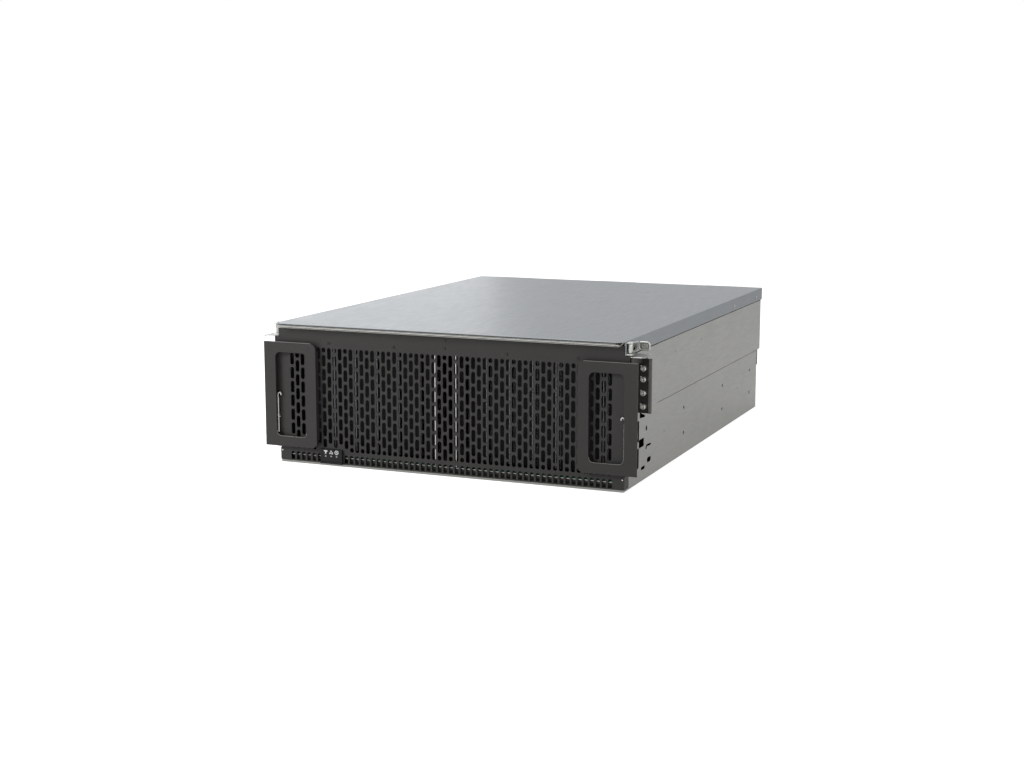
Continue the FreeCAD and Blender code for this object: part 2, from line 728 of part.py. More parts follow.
def hinge_leaf(centre, fixed):
    """Half of one hinge: knuckles 1, 3, 5 stay with the chassis, 2 and 4 with the cover."""
    x0 = centre - HINGE_LENGTH / 2
    bore = HINGE_PIN_R if fixed else HINGE_PIN_R + RUN_FIT
    bores = rod(bore, x0 - CUT, HINGE_Y, HINGE_Z, "x", HINGE_LENGTH + 2 * CUT)
    t = HINGE_LEAF_T
    tongue_y = UPPER_DEPTH if fixed else UPPER_DEPTH - HINGE_LEAF_L
    tongue_z = HINGE_Z - HINGE_R + t / 2 if fixed else COVER_Z - t
    pieces = []
    for i in range(0 if fixed else 1, KNUCKLES, 2):
        x = x0 + i * (KNUCKLE_W + KNUCKLE_GAP)
        pieces.append(rod(HINGE_R, x, HINGE_Y, HINGE_Z, "x", KNUCKLE_W))
        pieces.append(box(x, x + KNUCKLE_W, tongue_y, HINGE_Y, tongue_z, tongue_z + t))
    if fixed:
        pieces.append(box(x0, x0 + HINGE_LENGTH, UPPER_DEPTH, UPPER_DEPTH + t, FAN_TOP + CUT, tongue_z + t))
    else:
        pieces.append(box(x0, x0 + HINGE_LENGTH, tongue_y, UPPER_DEPTH - t, tongue_z, COVER_Z))
    return fuse(pieces).cut(bores)


def hinge_pins():
    pins = []
    for x in HINGE_X:
        pins.append(rod(HINGE_PIN_R, x - HINGE_LENGTH / 2, HINGE_Y, HINGE_Z, "x", HINGE_LENGTH))
    return compound(pins)


def latch_mounts():
    """Two lugs on each of the cover's front corners, drilled for the latch's pin."""
    pieces = []
    for side in (-1, 1):
        for z in (LATCH_Z0 - FIT - LUG_T, LATCH_Z1 + FIT):
            y0, y1 = LATCH_PIN_Y - LUG_HALF_D, LATCH_PIN_Y + LUG_HALF_D
            lug = box(COVER_X1, COVER_X1 + LUG_OUT, y0, y1, z, z + LUG_T)
            lug = lug.cut(rod(LATCH_PIN_R, LATCH_PIN_X, LATCH_PIN_Y, z - CUT, "z", LUG_T + 2 * CUT))
            pieces.append(sided(lug, side))
    return compound(pieces)


def latch_pins():
    z0 = LATCH_Z0 - FIT - LUG_T
    length = LATCH_Z1 + FIT + LUG_T - z0
    pins = []
    for side in (-1, 1):
        pins.append(rod(LATCH_PIN_R, side * LATCH_PIN_X, LATCH_PIN_Y, z0, "z", length))
    return compound(pins)


def cover_latch(side):
    """Pressed lever: a barrel round the pin, an arm along the flange and an outward finger tab."""
    barrel = rod(LATCH_BARREL_R, LATCH_PIN_X, LATCH_PIN_Y, LATCH_Z0, "z", LATCH_H)
    arm_x = LATCH_PIN_X - LATCH_T / 2
    arm = box(arm_x, arm_x + LATCH_T, LATCH_PIN_Y, LATCH_ARM_Y + LATCH_T, LATCH_Z0, LATCH_Z1)
    low, high = LATCH_Z0 + LATCH_OPENING_RIM, LATCH_Z1 - LATCH_OPENING_RIM
    x = arm_x - CUT
    corners = [(x, LATCH_OPENING_Y0, low), (x, LATCH_OPENING_Y1, low), (x, LATCH_OPENING_Y1, high)]
    opening = Part.Face(polygon(corners)).extrude(V(LATCH_T + 2 * CUT, 0, 0))
    wire = front_wire(arm_x - LATCH_TAB_R, LATCH_TAB_X, LATCH_Z0, LATCH_Z1, LATCH_TAB_R, LATCH_ARM_Y)
    eye_z = (LATCH_Z0 + LATCH_Z1 - LATCH_EYE_H) / 2
    eye_x = LATCH_TAB_X - LATCH_EYE_RIM
    eye_r = LATCH_EYE_H / 2
    eye = front_wire(eye_x - LATCH_EYE_W, eye_x, eye_z, eye_z + LATCH_EYE_H, eye_r, LATCH_ARM_Y)
    tab = plate(wire, [eye], V(0, LATCH_T, 0))
    tab = tab.common(box(arm_x, LATCH_TAB_X, 0, 2 * LATCH_ARM_Y, LATCH_Z0, LATCH_Z1))
    bore_r = LATCH_PIN_R + RUN_FIT
    bore = rod(bore_r, LATCH_PIN_X, LATCH_PIN_Y, LATCH_Z0 - CUT, "z", LATCH_H + 2 * CUT)
    return sided(fuse([barrel, arm.cut(opening), tab]).cut(bore), side)


# ---------------------------------------------------------------- drive bay
def drive_places():
    """Each drive's middle x and its bay's front y, row by row."""
    places = {"front": [], "rear": []}
    for row in range(ROWS_FRONT):
        for side in (-1, 1):
            for i in range(FRONT_PER_SIDE):
                x = side * (PLENUM_HALF + SHEET / 2 + (i + 0.5) * FRONT_PITCH)
                places["front"].append((x, ROW_START + row * ROW_PITCH))
    for row in range(ROWS_REAR):
        for i in range(REAR_PER_ROW):
            x = (i + 0.5 - REAR_PER_ROW / 2) * REAR_PITCH
            places["rear"].append((x, PLENUM_END + row * ROW_PITCH))
    return places


def drive(x, bay_y):
    """A 3.5-inch disk drive on edge, its connector end down."""
    y0 = bay_y + (ROW_PITCH - DRIVE_D) / 2
    body = box(x - DRIVE_W / 2, x + DRIVE_W / 2, y0, y0 + DRIVE_D, DRIVE_Z, DRIVE_Z + DRIVE_H)
    upright = [e for e in body.Edges if abs(e.tangentAt(e.FirstParameter).z) > 1 - TOUCH]
    return body.makeFillet(DRIVE_EDGE_R, upright)


def carrier(x, bay_y):
    """U-shaped strap round a drive, with a lifting lever on top."""
    y0 = bay_y + (ROW_PITCH - DRIVE_D) / 2
    y1 = y0 + DRIVE_D
    z1 = DRIVE_Z + DRIVE_H
    z2 = z1 + CARRIER_TOP_T
    x0, x1 = x - CARRIER_W / 2, x + CARRIER_W / 2
    u0, u1 = x0 + CARRIER_LEVER_INSET, x1 - CARRIER_LEVER_INSET
    pieces = [
        box(x0, x1, y0 - CARRIER_T, y0, DRIVE_Z, z1),
        box(x0, x1, y1, y1 + CARRIER_T, DRIVE_Z, z1),
        box(x0, x1, y0 - CARRIER_T, y1 + CARRIER_T, z1, z2),
        box(u0, u1, y0, y0 + CARRIER_LEVER_D, z2, z2 + CARRIER_LEVER_H),
    ]
    return fuse(pieces)


def boards():
    """Corner numbers of every baseplane board: x0, x1, y0, y1."""
    inner = PLENUM_HALF + SHEET / 2 + FIT
    outer = LAP_X - FIT
    found = []
    for row in range(ROWS_FRONT + ROWS_REAR):
        y0 = ROW_START + row * ROW_PITCH + BOARD_MARGIN
        y1 = y0 + ROW_PITCH - 2 * BOARD_MARGIN
        spans = ((-outer, -inner), (inner, outer)) if row < ROWS_FRONT else ((-outer, outer),)
        found += [(x0, x1, y0, y1) for x0, x1 in spans]
    return found


def baseplanes():
    z0, z1 = BOARD_Z, BOARD_Z + BOARD_T
    return compound([box(x0, x1, y0, y1, z0, z1) for x0, x1, y0, y1 in boards()])


def baseplane_standoffs():
    posts = []
    for x0, x1, y0, y1 in boards():
        for x in (x0 + 2 * STANDOFF_R, x1 - 2 * STANDOFF_R):
            for y in (y0 + 2 * STANDOFF_R, y1 - 2 * STANDOFF_R):
                posts.append(rod(STANDOFF_R, x, y, SHEET, "z", BOARD_Z - SHEET))
    return compound(posts)


def plenum_walls():
    """Bright walls that keep a cool-air way open down the middle of the front rows."""
    walls = []
    for side in (-1, 1):
        x0 = side * (PLENUM_HALF - SHEET / 2)
        x1 = side * (PLENUM_HALF + SHEET / 2)
        walls.append(box(x0, x1, RAIL_Y1 + FIT, PLENUM_END - DIVIDER_T, SHEET, WALL_TOP))
    return compound(walls)


def divider(x0, x1, y, centres):
    """Cross wall with a window behind every drive."""
    outer = polygon([(x0, y, SHEET), (x1, y, SHEET), (x1, y, WALL_TOP), (x0, y, WALL_TOP)])
    half = WINDOW_W / 2
    holes = [front_wire(x - half, x + half, WINDOW_Z0, WINDOW_Z1, WINDOW_R, y) for x in centres]
    return plate(outer, holes, V(0, DIVIDER_T, 0))


def row_dividers():
    front = sorted({round(x, 4) for x, y in drive_places()["front"]})
    rear = sorted({round(x, 4) for x, y in drive_places()["rear"]})
    inner = PLENUM_HALF + SHEET / 2 + FIT
    outer = LAP_X - FIT
    walls = []
    for row in range(1, ROWS_FRONT):
        y = ROW_START + row * ROW_PITCH - DIVIDER_T / 2
        walls.append(divider(inner, outer, y, [x for x in front if x > 0]))
        walls.append(divider(-outer, -inner, y, [x for x in front if x < 0]))
    for row in range(ROWS_FRONT, ROWS_FRONT + ROWS_REAR):
        y = ROW_START + row * ROW_PITCH - DIVIDER_T / 2
        walls.append(divider(-outer, outer, y, rear))
    return compound(walls)


def connector_blocks():
    """Drive connectors on the baseplane and module connectors on the rear backplane."""
    blocks = []
    for places in drive_places().values():
        for x, bay_y in places:
            y = bay_y + ROW_PITCH / 2
            x0, y0 = x - CONNECTOR_X / 2, y - CONNECTOR_Y / 2
            top = DRIVE_Z - CONNECTOR_GAP
            blocks.append(box(x0, x0 + CONNECTOR_X, y0, y0 + CONNECTOR_Y, BOARD_Z + BOARD_T, top))
    for x, width in ((PSU_X, PSU_PLUG_W), (IOM_X, IOM_PLUG_W)):
        y0 = BACKPLANE_Y + BOARD_T
        plug = box(x - width / 2, x + width / 2, y0, MODULE_FRONT - SLIDE_FIT, PLUG_Z0, PLUG_Z1)
        blocks += [plug, mirror_x(plug)]
    return compound(blocks)


# ---------------------------------------------------------------- rear of the shelf
def fan_centres():
    return [(i + 0.5 - FANS / 2) * FAN_PITCH for i in range(FANS)]


def fan_bulkhead():
    """Cross wall behind the drives, with a square opening in front of each fan."""
    x = LAP_X - FIT
    y = BAY_END - SHEET / 2
    outer = polygon([(-x, y, SHEET), (x, y, SHEET), (x, y, WALL_TOP), (-x, y, WALL_TOP)])
    r = FAN_BORE_R
    holes = [front_wire(c - r, c + r, FAN_Z - r, FAN_Z + r, FAN_MOUTH_R, y) for c in fan_centres()]
    return plate(outer, holes, V(0, SHEET, 0))


def module_shelf():
    return box(-LAP_X + FIT, LAP_X - FIT, BAY_END + SHEET, LOWER_DEPTH, SHELF_Z, FAN_BAY_Z)


def bay_walls():
    """Upright walls between the fans, and walls with runners between the lower modules."""
    walls = []
    half = DIVIDER_T / 2
    for i in range(1, FANS):
        x = (i - FANS / 2) * FAN_PITCH
        walls.append(box(x - half, x + half, FAN_FRONT, UPPER_DEPTH - BAY_WALL_SET_BACK, FAN_BAY_Z, WALL_TOP))
    runner_z = MODULE_Z - FIT
    for x in module_edges():
        upright = box(x - half, x + half, MODULE_FRONT, REAR_FRAME_Y, SHEET, SHELF_Z)
        runner = box(x - RUNNER_W / 2, x + RUNNER_W / 2, MODULE_FRONT, REAR_FRAME_Y, SHEET, runner_z)
        walls.append(fuse([upright, runner]))
    runner = box(INNER_W - SIDE_RUNNER_W, INNER_W, MODULE_FRONT, REAR_FRAME_Y, SHEET, runner_z)
    return compound(walls + [runner, mirror_x(runner)])


def module_edges():
    """x of the walls between neighbouring lower modules."""
    between = (PSU_X - PSU_W / 2 + IOM_X + IOM_W / 2) / 2
    return [-between, 0.0, between]


def module_places():
    """Name, middle x and width of each lower module."""
    return (
        ("psu_left", -PSU_X, PSU_W),
        ("io_left", -IOM_X, IOM_W),
        ("io_right", IOM_X, IOM_W),
        ("psu_right", PSU_X, PSU_W),
    )


def rear_frame():
    """Sheet round the mouths of the lower bays."""
    x, y = INNER_W - FIT, REAR_FRAME_Y
    outer = polygon([(-x, y, SHEET), (x, y, SHEET), (x, y, SHELF_Z), (-x, y, SHELF_Z)])
    holes = []
    for _, middle, width in module_places():
        u0, u1 = middle - width / 2 - SLIDE_FIT, middle + width / 2 + SLIDE_FIT
        v0, v1 = MODULE_Z - SLIDE_FIT, MODULE_TOP + SLIDE_FIT
        holes.append(front_wire(u0, u1, v0, v1, MODULE_MOUTH_R, y))
    return plate(outer, holes, V(0, SHEET, 0))


def module_backplane():
    x = LAP_X - FIT
    return box(-x, x, BACKPLANE_Y, BACKPLANE_Y + BOARD_T, SHEET, SHELF_Z - FIT)


def rear_header():
    """Angle across the top of the fan mouths; the hinges stand on its rear face."""
    x = INNER_W
    z1 = COVER_Z - HINGE_LEAF_T - FIT
    top = box(-x, x, UPPER_DEPTH - HEADER_D, UPPER_DEPTH, z1 - SHEET, z1)
    front = box(-x, x, UPPER_DEPTH - SHEET, UPPER_DEPTH, FAN_TOP + SLIDE_FIT, z1)
    return fuse([top, front])


def fan_housing(x):
    """Moulded fan frame with a rear finger grille and a pull tab."""
    body = box(x - FAN_W / 2, x + FAN_W / 2, FAN_FRONT, FAN_REAR, FAN_BOTTOM, FAN_TOP)
    body = body.cut(rod(FAN_BORE_R, x, FAN_FRONT - CUT, FAN_Z, "y", FAN_DEPTH + 2 * CUT))
    boss_y = FAN_WEB_Y - FAN_WEB_DEPTH
    hub = rod(FAN_HUB_R, x, FAN_WEB_Y, FAN_Z, "y", FAN_WEB_DEPTH)
    boss = rod(FAN_BOSS_R, x, boss_y, FAN_Z, "y", FAN_WEB_DEPTH)
    pieces = [body, hub, boss]
    step = (FAN_BORE_R - FAN_HUB_R) / (FAN_RINGS + 1)
    half = FAN_RING_W / 2
    for i in range(1, FAN_RINGS + 1):
        r = FAN_HUB_R + i * step
        hole = rod(r - half, x, FAN_WEB_Y - CUT, FAN_Z, "y", FAN_WEB_DEPTH + 2 * CUT)
        pieces.append(rod(r + half, x, FAN_WEB_Y, FAN_Z, "y", FAN_WEB_DEPTH).cut(hole))
    half = FAN_SPOKE_W / 2
    inner, outer = x + FAN_HUB_R - FAN_SPOKE_BITE, x + FAN_BORE_R + FAN_SPOKE_BITE
    for angle in FAN_SPOKE_ANGLES:
        spoke = box(inner, outer, FAN_WEB_Y, FAN_REAR, FAN_Z - half, FAN_Z + half)
        spoke.rotate(V(x, 0, FAN_Z), V(0, 1, 0), angle)
        pieces.append(spoke)
    blind = rod(FAN_SHAFT_R + RUN_FIT, x, boss_y - CUT, FAN_Z, "y", FAN_WEB_DEPTH + 3 * CUT)
    tab_x, tab_z, end = x - FAN_TAB_W / 2, FAN_BOTTOM + CUT, FAN_REAR + FAN_TAB_D
    tab = box(tab_x, tab_x + FAN_TAB_W, FAN_REAR, end, tab_z, tab_z + FAN_TAB_T)
    grip = box(tab_x, tab_x + FAN_TAB_W, end - FAN_TAB_T, end, tab_z, tab_z + FAN_TAB_H)
    return fuse([fuse(pieces).cut(blind), tab, grip])


def fan_rotor(x):
    """Hub, shaft and pitched blades."""
    y1 = FAN_WEB_Y - FAN_WEB_DEPTH - FIT
    y0 = y1 - FAN_HUB_DEPTH
    middle = (y0 + y1) / 2
    hub = rod(FAN_HUB_R, x, y0, FAN_Z, "y", FAN_HUB_DEPTH)
    shaft = rod(FAN_SHAFT_R, x, y1, FAN_Z, "y", FAN_WEB_DEPTH + FIT)
    disc = rod(FAN_BORE_R - FAN_TIP_GAP, x, y0, FAN_Z, "y", FAN_HUB_DEPTH)
    half_c, half_t = FAN_BLADE_CHORD / 2, FAN_BLADE_T / 2
    root, tip = x + FAN_HUB_R - FAN_SPOKE_BITE, x + FAN_BORE_R + FAN_SPOKE_BITE
    pieces = [hub, shaft]
    for i in range(FAN_BLADES):
        blade = box(root, tip, middle - half_c, middle + half_c, FAN_Z - half_t, FAN_Z + half_t)
        blade.rotate(V(x, middle, FAN_Z), V(1, 0, 0), FAN_BLADE_ANGLE)
        blade.rotate(V(x, middle, FAN_Z), V(0, 1, 0), 360.0 * i / FAN_BLADES)
        pieces.append(blade.common(disc))
    return fuse(pieces)


def module_shell(x, width, mouth):
    """Open-mouthed metal canister with a fascia that covers the edge of its bay."""
    x0, x1 = x - width / 2, x + width / 2
    y0, y1 = MODULE_FRONT, LOWER_DEPTH
    z0, z1 = MODULE_Z, MODULE_TOP
    t, rim, m = MODULE_WALL, MODULE_WINDOW_RIM, FASCIA_MARGIN
    inside = box(x0 + t, x1 - t, y0 - CUT, y1 - t, z0 + t, z1 - t)
    skin = box(x0, x1, y0, y1, z0, z1).cut(inside)
    window = box(x0 + rim, x1 - rim, y0 - CUT, y0 + t + CUT, MODULE_WINDOW_Z0, MODULE_WINDOW_Z1)
    front = box(x0 + t, x1 - t, y0, y0 + t, z0 + t, z1 - t).cut(window)
    fascia = box(x0 - m, x1 + m, y1 + FIT, y1 + FIT + FASCIA_T, z0 - m, z1 + m)
    neck = box(x0, x1, y1 - t, y1 + FIT, z0, z1)
    return fuse([skin, front, neck, fascia]).cut(mouth)


def psu_case(x):
    """Power supply canister: fan opening, inlet opening and two bosses for its bail."""
    back, middle = MODULE_BACK, MODULE_MIDDLE
    mouth_y = LOWER_DEPTH - MODULE_WALL - CUT
    fan_x = x + PSU_FAN_X
    fan = rod(PSU_FAN_R, fan_x, mouth_y, middle, "y", back + CUT - mouth_y)
    u, half_w, half_h = x + INLET_X, INLET_W / 2, INLET_H / 2
    inlet = box(u - half_w, u + half_w, mouth_y, back + CUT, middle - half_h, middle + half_h)
    pieces = [module_shell(x, PSU_W, [fan, inlet])]
    half = GUARD_W / 2
    for share in GUARD_SHARES:
        r = PSU_FAN_R * share
        hole = rod(r - half, fan_x, LOWER_DEPTH - CUT, middle, "y", FASCIA_T + 2 * CUT)
        pieces.append(rod(r + half, fan_x, LOWER_DEPTH, middle, "y", FASCIA_T).cut(hole))
    reach = PSU_FAN_R + CUT
    for u, w in ((reach, half), (half, reach)):
        pieces.append(box(fan_x - u, fan_x + u, LOWER_DEPTH, back - FIT, middle - w, middle + w))
    axis_y = back + BAIL_OUT
    z0, z1 = BAIL_Z - BAIL_BOSS_RIM, BAIL_Z + 3 * BAIL_ROD_R
    for side in (-1, 1):
        inner = x + side * (BAIL_W / 2 - BAIL_ROD_R - FIT)
        outer = inner - side * BAIL_BOSS_W
        boss = box(inner, outer, back, axis_y + 2 * BAIL_ROD_R, z0, z1)
        start = min(inner, outer) - CUT
        bore = rod(BAIL_ROD_R + RUN_FIT, start, axis_y, BAIL_Z + BAIL_ROD_R, "x", BAIL_BOSS_W + 2 * CUT)
        pieces.append(boss.cut(bore))
    return fuse(pieces)


def psu_inlet(x):
    """Moulded mains inlet with three flat contact blades; no cord is fitted."""
    back, middle = MODULE_BACK, MODULE_MIDDLE
    u, half_w, half_h = x + INLET_X, INLET_W / 2 - INLET_FIT, INLET_H / 2 - INLET_FIT
    y0, f = back - INLET_DEPTH, INLET_FRAME
    body = box(u - half_w, u + half_w, y0, back, middle - half_h, middle + half_h)
    in_w, in_h = half_w - f, half_h - f
    cavity = box(u - in_w, u + in_w, y0 + f, back + CUT, middle - in_h, middle + in_h)
    blades = []
    for i in (-1, 0, 1):
        bx = u + i * INLET_BLADE_PITCH - INLET_BLADE_W / 2
        bz = middle + INLET_BLADE_STEP * (1 - 2 * abs(i)) - INLET_BLADE_H / 2
        end = back - INLET_BLADE_DEEP
        blades.append(box(bx, bx + INLET_BLADE_W, y0, end, bz, bz + INLET_BLADE_H))
    return fuse([body.cut(cavity)] + blades)


def psu_bail(x):
    """Round-wire bail whose inward ends turn in the bosses."""
    y, z0, r = MODULE_BACK + BAIL_OUT, BAIL_Z + BAIL_ROD_R, BAIL_ROD_R
    pieces = []
    for side in (-1, 1):
        u = x + side * BAIL_W / 2
        inner = u - side * (r + FIT + BAIL_BOSS_W)
        pieces.append(rod(r, u, y, z0, "z", BAIL_H))
        pieces.append(Part.makeSphere(r, V(u, y, z0)))
        pieces.append(Part.makeSphere(r, V(u, y, z0 + BAIL_H)))
        pieces.append(rod(r, min(u, inner), y, z0, "x", abs(u - inner)))
    pieces.append(rod(r, x - BAIL_W / 2, y, z0 + BAIL_H, "x", BAIL_W))
    return fuse(pieces)


def io_case(x):
    """Input and output canister with port openings and two ears for its lever."""
    mouth_y = LOWER_DEPTH - MODULE_WALL - CUT
    mouths = []
    for i in range(PORTS):
        u = x + PORTS_SHIFT + (i + 0.5 - PORTS / 2) * PORT_PITCH
        mouths.append(box(u - PORT_W / 2, u + PORT_W / 2, mouth_y, MODULE_BACK + CUT, PORT_Z0, PORT_Z1))
    shape = module_shell(x, IOM_W, mouths)
    pin_x = x - LEVER_L / 2
    y = MODULE_BACK + LEVER_PIN_OUT
    half = LEVER_EAR_HALF
    ears = []
    for z in (LEVER_Z0 - FIT - LEVER_T, LEVER_Z0 + LEVER_H + FIT):
        ears.append(box(pin_x - half, pin_x + half, MODULE_BACK, y + half, z, z + LEVER_T))
    pin_z = LEVER_Z0 - FIT - LEVER_T / 2
    pin = rod(LEVER_PIN_R, pin_x, y, pin_z, "z", LEVER_H + 2 * FIT + LEVER_T)
    return fuse([shape] + ears + [pin])


def io_lever(x):
    """Pull lever that turns on the canister's pin."""
    pin_x, y = x - LEVER_L / 2, MODULE_BACK + LEVER_PIN_OUT
    z0, z1, t = LEVER_Z0, LEVER_Z0 + LEVER_H, LEVER_T
    end = pin_x + LEVER_L
    arm = box(pin_x, end, y - t / 2, y + t / 2, z0, z1)
    eye = rod(2 * LEVER_PIN_R, pin_x, y, z0, "z", LEVER_H)
    tip = box(end - t, end, y, y + LEVER_TIP, z0, z1)
    bore = rod(LEVER_PIN_R + RUN_FIT, pin_x, y, z0 - CUT, "z", LEVER_H + 2 * CUT)
    return fuse([arm, eye, tip]).cut(bore)


# ---------------------------------------------------------------- write every piece
os.makedirs("parts", exist_ok=True)

save("base_tray", base_tray())
save("front_side_plates", compound([front_side_plate(), mirror_x(front_side_plate())]))
save("front_panel", front_panel())
save("panel_screws", panel_screws())
save("rack_ears", compound([rack_ear(-1), rack_ear(1)]))
save("rack_screws", rack_screws())
save("catch_brackets", catch_brackets())
save("status_panel", status_panel())
save("status_light_pipes", status_light_pipes())
save("front_cross_rail", front_cross_rail())
save("side_rivets", side_rivets())

for name, side in (("left", -1), ("right", 1)):
    save("side_panel_" + name, side_panel(side))
    save("handle_" + name, handle(side))
    save("rail_trigger_" + name, rail_trigger(side))
    save("cover_latch_" + name, cover_latch(side))

save("top_cover", top_cover())
save("cover_stiffener", cover_stiffener())
save("cover_screws", cover_screws())
save("cover_hinge_leaves", compound([hinge_leaf(x, False) for x in HINGE_X]))
save("chassis_hinge_leaves", compound([hinge_leaf(x, True) for x in HINGE_X]))
save("hinge_pins", hinge_pins())
save("latch_mounts", latch_mounts())
save("latch_pins", latch_pins())

for name, places in drive_places().items():
    save("drives_" + name + "_rows", compound([drive(x, y) for x, y in places]))
    save("carriers_" + name + "_rows", compound([carrier(x, y) for x, y in places]))
save("baseplanes", baseplanes())
save("baseplane_standoffs", baseplane_standoffs())
save("plenum_walls", plenum_walls())
save("row_dividers", row_dividers())
save("board_connectors", connector_blocks())

save("fan_bulkhead", fan_bulkhead())
save("module_shelf", module_shelf())
save("bay_walls", bay_walls())
save("rear_frame", rear_frame())
save("module_backplane", module_backplane())
save("rear_header", rear_header())
for number, x in enumerate(fan_centres(), 1):
    save("fan_housing_" + str(number), fan_housing(x))
    save("fan_rotor_" + str(number), fan_rotor(x))
for name, x, _ in module_places():
    if name.startswith("psu"):
        save(name + "_case", psu_case(x))
        save(name + "_inlet", psu_inlet(x))
        save(name + "_bail", psu_bail(x))
    else:
        save(name + "_case", io_case(x))
        save(name + "_lever", io_lever(x))
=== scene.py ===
# %% [markdown]
# # A disk shelf for a 19-inch rack
# The shelf is a box of plated sheet steel, four rack units high. Its front is a black perforated
# panel with two flat handles, and its top is one long steel cover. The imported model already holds
# every solid piece in its place, in metres, so this script only dresses it: it gives each surface a
# finish, rounds the edges that catch light, and adds small parts that are too fine for the model.

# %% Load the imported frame
import json
import math
import bmesh
import bpy
from mathutils import Matrix, Vector


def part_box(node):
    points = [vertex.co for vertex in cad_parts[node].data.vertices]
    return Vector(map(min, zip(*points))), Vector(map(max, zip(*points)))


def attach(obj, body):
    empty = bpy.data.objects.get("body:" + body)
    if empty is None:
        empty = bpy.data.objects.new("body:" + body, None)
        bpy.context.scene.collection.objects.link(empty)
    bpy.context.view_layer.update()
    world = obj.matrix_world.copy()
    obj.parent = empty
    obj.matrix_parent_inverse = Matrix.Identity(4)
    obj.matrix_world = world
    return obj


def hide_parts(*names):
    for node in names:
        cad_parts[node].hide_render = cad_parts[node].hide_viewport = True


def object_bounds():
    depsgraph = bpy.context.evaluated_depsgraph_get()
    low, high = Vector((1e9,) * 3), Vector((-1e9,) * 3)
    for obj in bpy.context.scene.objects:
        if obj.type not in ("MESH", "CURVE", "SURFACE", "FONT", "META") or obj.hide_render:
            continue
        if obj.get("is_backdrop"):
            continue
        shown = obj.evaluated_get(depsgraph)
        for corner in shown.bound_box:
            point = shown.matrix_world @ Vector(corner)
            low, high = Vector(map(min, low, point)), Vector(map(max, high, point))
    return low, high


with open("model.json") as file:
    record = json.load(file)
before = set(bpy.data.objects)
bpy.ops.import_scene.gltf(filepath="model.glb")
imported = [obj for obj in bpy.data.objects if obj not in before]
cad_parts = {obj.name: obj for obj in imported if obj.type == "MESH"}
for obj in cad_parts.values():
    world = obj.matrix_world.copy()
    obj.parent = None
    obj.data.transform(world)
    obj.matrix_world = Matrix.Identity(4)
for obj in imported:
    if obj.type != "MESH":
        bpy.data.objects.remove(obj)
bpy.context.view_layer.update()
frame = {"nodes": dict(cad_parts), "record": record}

NODES = frame["nodes"]

# %% [markdown]
# ## The camera
# The shelf is seen from its front right corner, a little from above. The camera keeps its distance
# and lens in named values, and aims at a point in the plane of the panel, right of its middle, so
# that the shelf stands in the frame as it does on a catalogue page. No shift is needed.

# %% Camera
MM = 0.001
FRONT_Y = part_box("front_panel")[0].y
CAMERA_AZIMUTH = math.radians(22.69)
CAMERA_ELEVATION = math.radians(9.44)
CAMERA_DISTANCE = 1.8913
CAMERA_LENS = 57.4
CAMERA_AIM = Vector((0.0861, FRONT_Y, 0.1168))


def away_from(azimuth, elevation):
    """The direction from the shelf to a viewer; azimuth 0 stands in front of the panel."""
    flat = math.cos(elevation)
    return Vector((math.sin(azimuth) * flat, -math.cos(azimuth) * flat, math.sin(elevation)))


def aim(obj, place, target):
    """Put a camera or a lamp at a place, looking at a target."""
    obj.location = place
    obj.rotation_euler = (target - place).to_track_quat("-Z", "Y").to_euler()
    bpy.context.scene.collection.objects.link(obj)
    return obj


camera = bpy.data.objects.new("camera", bpy.data.cameras.new("camera"))
camera.data.lens = CAMERA_LENS
camera.data.sensor_width = 36.0
camera.data.clip_start = 0.01
stand_off = away_from(CAMERA_AZIMUTH, CAMERA_ELEVATION) * CAMERA_DISTANCE
aim(camera, CAMERA_AIM + stand_off, CAMERA_AIM)
bpy.context.scene.camera = camera
print("camera at", [round(c, 3) for c in camera.location])

# %% [markdown]
# ## A plain studio
# A white floor and a white world stand for a paper sweep. Lamps are wide and soft, so that plain
# steel shows its satin finish without hard glints. The key lamp is the smallest, and it is hidden
# from reflections, where it would burn a white patch on the cover. The world shows as white but
# casts less light than that, so that a colour renders as written, and the floor glows a little for
# the camera, so that it looks as white as the world.

# %% Colour helper and studio
def colour(code):
    """An sRGB hex code such as '#4a4948' as linear RGBA."""
    parts = [int(code[i:i + 2], 16) / 255 for i in (1, 3, 5)]
    linear = [c / 12.92 if c <= 0.04045 else ((c + 0.055) / 1.055) ** 2.4 for c in parts]
    return (*linear, 1.0)


def node(tree, kind, links=None, **settings):
    """Add a shader or geometry node, set its properties and inputs, and link its inputs."""
    made = tree.nodes.new(kind)
    for key, value in settings.items():
        if hasattr(made, key):
            setattr(made, key, value)
        else:
            made.inputs[key.replace("_", " ")].default_value = value
    for key, source in (links or {}).items():
        tree.links.new(source, made.inputs[key])
    return made


def white_for_viewer(tree, cast):
    """A background that casts less light than it shows to the camera and in reflections."""
    ray = node(tree, "ShaderNodeLightPath").outputs
    either = {0: ray["Is Camera Ray"], 1: ray["Is Glossy Ray"]}
    shown = node(tree, "ShaderNodeMath", either, operation="MAXIMUM")
    any_ray = {0: shown.outputs[0], 1: ray["Is Transmission Ray"]}
    seen = node(tree, "ShaderNodeMath", any_ray, operation="MAXIMUM")
    dim = node(tree, "ShaderNodeBackground", Color=colour("#ffffff"), Strength=cast)
    full = node(tree, "ShaderNodeBackground", Color=colour("#ffffff"), Strength=1.0)
    links = {0: seen.outputs[0], 1: dim.outputs[0], 2: full.outputs[0]}
    return node(tree, "ShaderNodeMixShader", links)


WORLD_CAST = 0.3
world = bpy.data.worlds.new("studio")
world.use_nodes = True
world.node_tree.nodes.clear()
sky = white_for_viewer(world.node_tree, WORLD_CAST)
node(world.node_tree, "ShaderNodeOutputWorld", {"Surface": sky.outputs[0]})
bpy.context.scene.world = world
bpy.context.scene.view_settings.view_transform = "Standard"


